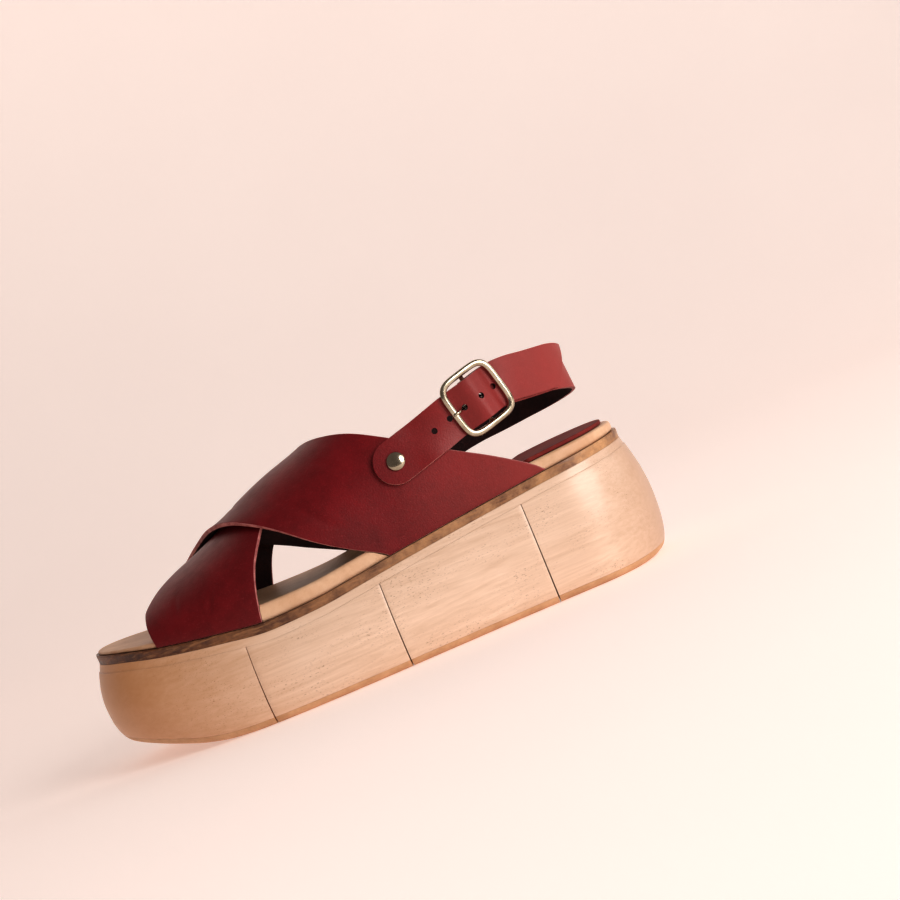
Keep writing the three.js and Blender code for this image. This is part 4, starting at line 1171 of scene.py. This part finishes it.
# %% Waxed wood
def waxed_wood(n):
    bands = n.use(FIBRE, Stretch=(0.06, 0.5, 1.0), Scale=90.0)["Strands"]
    lines = n.use(FIBRE, Stretch=(0.025, 0.8, 1.0), Scale=620.0)["Strands"]
    tone = n.sum(bands, 0.45, lines, 0.55)
    pale = n.mix(n.span(tone, 0.36, 0.64), rgb(214, 180, 152), rgb(238, 208, 184))
    dash = n.noise(n.place((0.3, 0.9, 1.0)), 3000.0, 1.0, 0.4)
    pores = n.span(dash, 0.64, 0.73)
    patches = n.span(n.noise(n.place((0.6, 1.0, 1.0)), 70.0, 2.0), 0.42, 0.62)
    pores = n.times(pores, patches)
    colour = n.mix(n.times(pores, 0.6), pale, rgb(120, 70, 36))
    along = n.along()
    # painted shade: the heel end is painted a little darker
    heel = n.span(along, -0.098, -0.13)
    colour = n.mix(n.times(heel, 0.7), colour, rgb(172, 134, 106))
    # painted shade and warm bounce light: the toe end, turned away from the light, is painted warmer and
    # darker
    toe = n.span(along, 0.035, 0.11)
    colour = n.mix(n.times(toe, 0.75), colour, rgb(202, 134, 66))
    height = n.calc("SUBTRACT", n.times(lines, 0.35), n.times(pores, 0.9))
    return {"Base Color": colour, "Roughness": n.span(lines, 0.3, 0.7, 0.36, 0.5),
            "Normal": n.bump(height, 0.3, 0.00012)}


wood = finish("waxed_wood", waxed_wood, Coat_Weight=0.25, Coat_Roughness=0.22)
dress(platform, wood)


def rubber_sheet(n):
    patch = n.use(MOTTLE, Dark=rgb(190, 144, 104), Light=rgb(212, 168, 128), Scale=120.0)
    grit = n.use(GRAIN, Cells=2600.0)
    return {"Base Color": patch["Colour"], "Normal": n.bump(grit["Height"], 0.2, 0.00012)}


crepe = finish("tan_rubber", rubber_sheet, Roughness=0.6)
for plate in plates:
    dress(plate, crepe)

# %% [markdown]
# The welt's raw edge is dark brown and fibrous, with lighter threads. The footbed's leather is smooth and
# pale tan, and the heel patch is the burgundy's dull, faded cousin.

# %% Welt, tan leather and heel patch
def welt_leather(n):
    strands = n.use(FIBRE, Stretch=(0.12, 0.3, 1.0), Scale=900.0)["Strands"]
    along = n.along()
    dark = n.mix(n.span(along, -0.11, 0.09), rgb(112, 68, 38), rgb(60, 26, 8))
    light = n.mix(n.span(along, -0.11, 0.09), rgb(196, 148, 102), rgb(112, 64, 28))
    patch = n.use(MOTTLE, Dark=dark, Light=light, Scale=110.0)
    colour = n.mix(n.span(strands, 0.5, 0.68, 0.0, 0.6), patch["Colour"], rgb(170, 120, 76))
    return {"Base Color": colour, "Roughness": n.span(strands, 0.3, 0.7, 0.3, 0.6),
            "Normal": n.bump(strands, 0.7, 0.0005)}


def tan_leather(n):
    patch = n.use(MOTTLE, Dark=rgb(204, 160, 124), Light=rgb(228, 190, 156), Scale=48.0)
    grain = n.use(GRAIN, Cells=1700.0)
    colour = n.mix(n.times(grain["Pores"], 0.16), patch["Colour"], rgb(170, 112, 66))
    return {"Base Color": colour, "Normal": n.bump(grain["Height"], 0.2, 0.00014)}


def faded_leather(n):
    patch = n.use(MOTTLE, Dark=rgb(104, 30, 28), Light=rgb(134, 52, 46), Scale=60.0)
    grain = n.use(GRAIN, Cells=1500.0)
    return {"Base Color": patch["Colour"], "Normal": n.bump(grain["Height"], 0.25, 0.00016)}


dress(welt, finish("welt_fibre", welt_leather, Coat_Weight=0.12, Coat_Roughness=0.3))
dress(footbed, finish("tan_leather", tan_leather, Roughness=0.5))
dress(patch, finish("faded_leather", faded_leather, Roughness=0.65, Specular_IOR_Level=0.1))

# %% [markdown]
# Buckle and rivets are plated in pale warm nickel, polished, with the faint scratches that handling leaves.

# %% Nickel
def plated(n):
    marks = n.noise(n.place((0.15, 1.0, 1.0), (0.3, 0.6, 0.2)), 2400.0, 3.0, 0.6)
    cloud = n.noise(n.place(), 160.0, 3.0)
    colour = n.mix(n.span(cloud, 0.35, 0.65), rgb(164, 153, 131), rgb(194, 184, 163))
    return {"Base Color": colour, "Roughness": n.span(marks, 0.35, 0.7, 0.12, 0.2),
            "Normal": n.bump(marks, 0.04, 0.00003)}


nickel = finish("pale_nickel", plated, Metallic=1.0)
for piece in bpy.data.objects:
    if piece.name.startswith(("buckle_ring", "buckle_bar", "prong_", "cap_")):
        dress(piece, nickel)

# %% [markdown]
# The studio is one wide sheet of pale pink paper that runs under the shoe and curves up behind it, so no
# horizon shows. The paper also glows faintly by its own emission: painted light. A large soft light stands to
# the heel side and in front, and a weaker one behind the heel.

# %% Paper, lights and camera
FLAT_ROWS, BEND_ROWS, ROW_STEP, BEND_RADIUS = 6, 16, 600.0, 700


def paper_point(row, column):
    turn = np.clip(row - FLAT_ROWS, 0, BEND_ROWS) / BEND_ROWS * math.pi / 2
    y = 3000 - ROW_STEP * np.minimum(row, FLAT_ROWS) - BEND_RADIUS * np.sin(turn)
    z = BEND_RADIUS * (1 - np.cos(turn)) + ROW_STEP * np.maximum(row - FLAT_ROWS - BEND_ROWS, 0)
    return np.stack([(column - 10) * 500.0, y, z], axis=1) - ORIGIN


paper = smooth(grid("paper", 27, 20, paper_point), 60)


def pale_paper(n):
    tone = n.noise(n.place(), 2.0, 3.0)
    return {"Base Color": n.mix(n.span(tone, 0.35, 0.65), rgb(240, 229, 224), rgb(244, 234, 229)),
            "Normal": n.bump(n.noise(n.place(), 900.0, 2.0), 0.05, 0.0002)}


# painted light: the paper glows by its own emission, which brightens the backdrop and lights the shoe
dress(paper, finish("glowing_pink_paper", pale_paper, Roughness=0.9, Specular_IOR_Level=0.2,
                    Emission_Color=rgb(252, 234, 226), Emission_Strength=0.4))
paper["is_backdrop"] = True


def softbox(name, towards, distance, size, power, colour):
    light = bpy.data.lights.new(name, "AREA")
    light.shape, light.size, light.energy, light.color = "DISK", size, power, colour
    lamp = bpy.data.objects.new(name, light)
    bpy.context.collection.objects.link(lamp)
    aim = Vector(towards).normalized()
    lamp.location = Vector((0, 0, 0.06)) + aim * distance
    lamp.rotation_euler = aim.to_track_quat("Z", "Y").to_euler()


softbox("key", (-0.62, 0.72, 0.3), 1.4, 0.8, 14, (1.0, 0.985, 0.97))
softbox("heel", (-0.95, 0.04, 0.34), 1.3, 0.7, 2.6, (1.0, 0.97, 0.95))
world = bpy.data.worlds.new("room")
world.use_nodes = True
room = Nodes(world.node_tree)
seen = room.add("LightPath").outputs["Is Camera Ray"]
glow = world.node_tree.nodes["Background"]
glow.inputs["Color"].default_value = rgb(248, 230, 222)
world.node_tree.links.new(room.span(seen, 0.0, 1.0, 0.22, 0.92), glow.inputs["Strength"])
bpy.context.scene.world = world

lens = bpy.data.cameras.new("camera")
lens.lens, lens.sensor_width, lens.sensor_fit = 72, 36, "HORIZONTAL"
camera = bpy.data.objects.new("camera", lens)
bpy.context.collection.objects.link(camera)
view_axes = ((-0.9237, 0.0139, -0.3829), (-0.3831, -0.0322, 0.9231), (0.0005, 0.9994, 0.0351))
camera.matrix_world = Matrix.Translation((-0.0543, 0.7991, 0.1048)) @ Matrix(view_axes).transposed().to_4x4()
bpy.context.scene.camera = camera
bpy.context.scene.view_settings.view_transform = "Standard"
bpy.context.scene.view_settings.gamma = 0.88

# %% Sizes and the end
low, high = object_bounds()
sizes = [[round(b - a, 4) for a, b in zip(*box)] for box in ((cad_low, cad_high), (low, high))]
print("solids", sizes[0], "scene", sizes[1])
